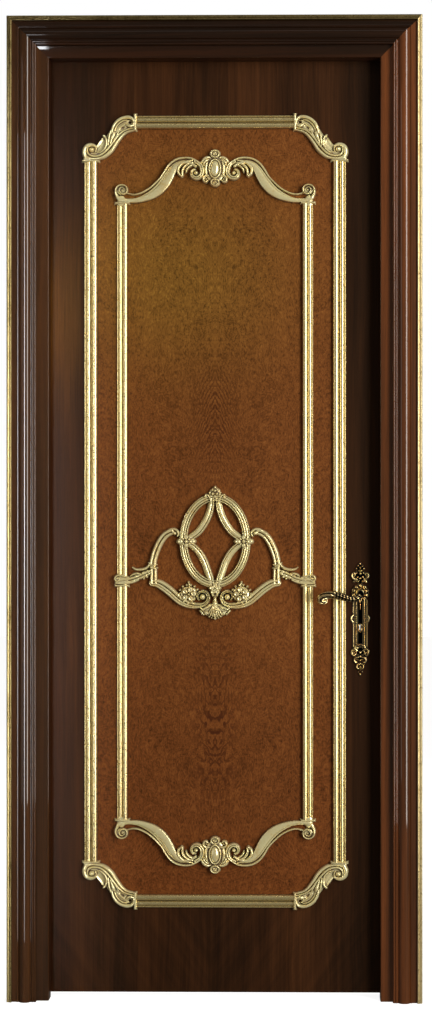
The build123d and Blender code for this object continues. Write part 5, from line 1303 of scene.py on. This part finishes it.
    collar = [(9.7, 7.6), (9.7, 10.4), (10.6, 11.2), (12.2, 11.5), (13.8, 10.9), (14.6, 9.9), (16.4, 9.4), (18.4, 9.3), (20.0, 8.9), (21.0, 7.9), (21.0, 6.6)]
    lathe(collar, (0, 0, 0), "Y", 0.05, 16)
    ball = [(-7.6 * math.cos(math.pi * i / 12), max(0.05, 7.0 * math.sin(math.pi * i / 12))) for i in range(13)]
    lathe([(49 + h, r) for h, r in ball], (-94.5, 0, -14.5), "Y", 0.0, 0, 32)
    X = (LX + verts[:, 0]) * 0.001
    Z = (LZ + verts[:, 2]) * 0.001
    Yv = LEAF_BACK_Y + verts[:, 1] * 0.001 if back else LEAF_Y - verts[:, 1] * 0.001
    out = np.stack([X, Yv, Z], 1)
    # outward winding: checked on the main tube by its signed volume
    v = out
    vol = sum(float(np.dot(v[f[0]], np.cross(v[f[1]], v[f[2]])) + (np.dot(v[f[0]], np.cross(v[f[2]], v[f[3]])) if len(f) == 4 else 0)) for f in faces[: (n - 1) * n_around])
    body_faces = faces[: (n - 1) * n_around + 1 + n_around]
    rest_faces = faces[(n - 1) * n_around + 1 + n_around:]
    if vol < 0:
        body_faces = [f[::-1] for f in body_faces]
    if rest_faces:
        rv = 0.0
        for f in rest_faces:
            for i in range(1, len(f) - 1):
                rv += float(np.dot(v[f[0]], np.cross(v[f[i]], v[f[i + 1]])))
        if rv < 0:
            rest_faces = [f[::-1] for f in rest_faces]
    return new_object(name, out, body_faces + rest_faces, antique_mat, "lever", 50.0, rel, (name.replace("_grip", ""),))


mark("levers")
lever_mesh("lever_front_grip", False)
lever_mesh("lever_back_grip", True)


# ------------------------------------------------------- finish of other nodes
by_slot = {}
for m in frame["record"].get("materials", []):
    for n in m.get("nodes", []):
        by_slot[n] = m["slot"]
plain = {
    "leaf_walnut": leaf_mat, "field_burr": burr_mat, "lining_walnut": lining_mat, "seal_rubber": rubber_mat, "hinge_brass": hinge_mat,
    "antique_brass": antique_plain_mat, "screw_brass": screw_mat, "lock_brass": lock_brass_mat, "lock_steel": steel_mat,
    "casing_lacquer": casing_mat, "gilt_edge": gilt_edge_mat, "gilt_moulding": gilt_bar_mat, "gilt_carving": gilt_carving_mat,
}


def finish_of(n):
    if n == "door_leaf": return leaf_mat
    if n == "field_panel": return burr_mat
    if n == "jamb_head" or n == "architrave_back_head": return lining_head_mat
    if n.startswith(("jamb", "architrave")): return lining_mat
    if n == "rebate_seal": return rubber_mat
    if n in ("strike_plate", "lock_forend"): return lock_brass_mat
    if n.startswith("hinge_"): return hinge_mat
    if n.startswith("wood_screws") or n == "handle_screws": return screw_mat
    if n.startswith("casing"): return casing_mat
    if n.startswith("gilt"): return gilt_edge_mat
    if n.startswith("bar_"): return gilt_bar_mat
    if n.startswith(("corner", "swag", "cartouche", "centre")): return gilt_carving_mat
    if n.startswith(("handle_plate", "lever_")): return antique_plain_mat
    if n in ("lock_case", "lock_follower"): return black_steel_mat
    return steel_mat


for n, o in nodes.items():
    o.data.materials.clear()
    o.data.materials.append(finish_of(n))
    for p in o.data.polygons:
        p.material_index = 0

# ----------------------------------------------------------------- the studio
mark("studio")


def plane(name, corners, mat):
    mesh = bpy.data.meshes.new(name)
    mesh.from_pydata(corners, [], [(0, 1, 2, 3)])
    mesh.materials.append(mat)
    o = bpy.data.objects.new(name, mesh)
    bpy.context.scene.collection.objects.link(o)
    return o


ground = plane("floor", [(-14, -14, 0), (14, -14, 0), (14, 14, 0), (-14, 14, 0)], floor_material())
# no pale cast from below on the dark woods
ground.visible_diffuse = False
ground.visible_glossy = False

# a pale room to look at, that throws only a little light of its own
world = bpy.data.worlds.new("studio")
world.use_nodes = True
wt = world.node_tree
seen = wt.nodes["Background"]
seen.inputs["Color"].default_value = (1, 1, 1, 1)
seen.inputs["Strength"].default_value = 1.0
dim = wt.nodes.new("ShaderNodeBackground")
dim.inputs["Color"].default_value = (1.0, 0.93, 0.80, 1)
dim.inputs["Strength"].default_value = 0.13
which = wt.nodes.new("ShaderNodeLightPath")
both = wt.nodes.new("ShaderNodeMixShader")
wt.links.new(which.outputs["Is Camera Ray"], both.inputs[0])
wt.links.new(dim.outputs[0], both.inputs[1])
wt.links.new(seen.outputs[0], both.inputs[2])
wt.links.new(both.outputs[0], wt.nodes["World Output"].inputs["Surface"])
bpy.context.scene.world = world


def softbox(name, at, look, w, h, power, colour=(1, 1, 1)):
    data = bpy.data.lights.new(name, "AREA")
    data.shape = "RECTANGLE"
    data.size, data.size_y = w, h
    data.energy = power
    data.color = colour
    o = bpy.data.objects.new(name, data)
    o.location = at
    o.rotation_euler = (Vector(look) - Vector(at)).to_track_quat("-Z", "Y").to_euler()
    o.visible_camera = False
    bpy.context.scene.collection.objects.link(o)
    return o


softbox("key", (2.90, -3.05, 1.75), (0.0, 0.0, 1.5), 1.5, 3.9, 185, (1.0, 0.965, 0.90))
softbox("fill", (-3.1, -2.9, 1.6), (0.0, 0.0, 1.3), 1.6, 3.4, 15, (1.0, 0.95, 0.90))
strip = softbox("line_left", (-0.625, -1.25, 1.17), (-0.485, -0.08, 1.17), 0.10, 2.56, 0.64, (0.94, 0.96, 1.0))
strip.data.spread = math.radians(29)
softbox("over", (0.0, -1.5, 3.45), (0.0, 0.0, 1.2), 2.2, 0.22, 1.6, (1.0, 0.97, 0.92))
softbox("behind", (1.2, 3.6, 2.6), (0.0, 0.1, 1.2), 2.4, 2.4, 120, (1.0, 0.99, 0.97))

# camera at the photograph's viewing angle
cam = bpy.data.cameras.new("camera")
cam_obj = bpy.data.objects.new("camera", cam)
bpy.context.scene.collection.objects.link(cam_obj)
cam.lens = 66.37
cam.sensor_width = 36.0
cam.sensor_fit = "AUTO"
cam.shift_x = -0.043
cam.shift_y = 0.0
cam_obj.location = (0.18046, -4.88585, 1.24986)
cam_obj.rotation_euler = (math.radians(90), 0, math.radians(0.76))
bpy.context.scene.camera = cam_obj
bpy.context.scene.view_settings.view_transform = "Standard"
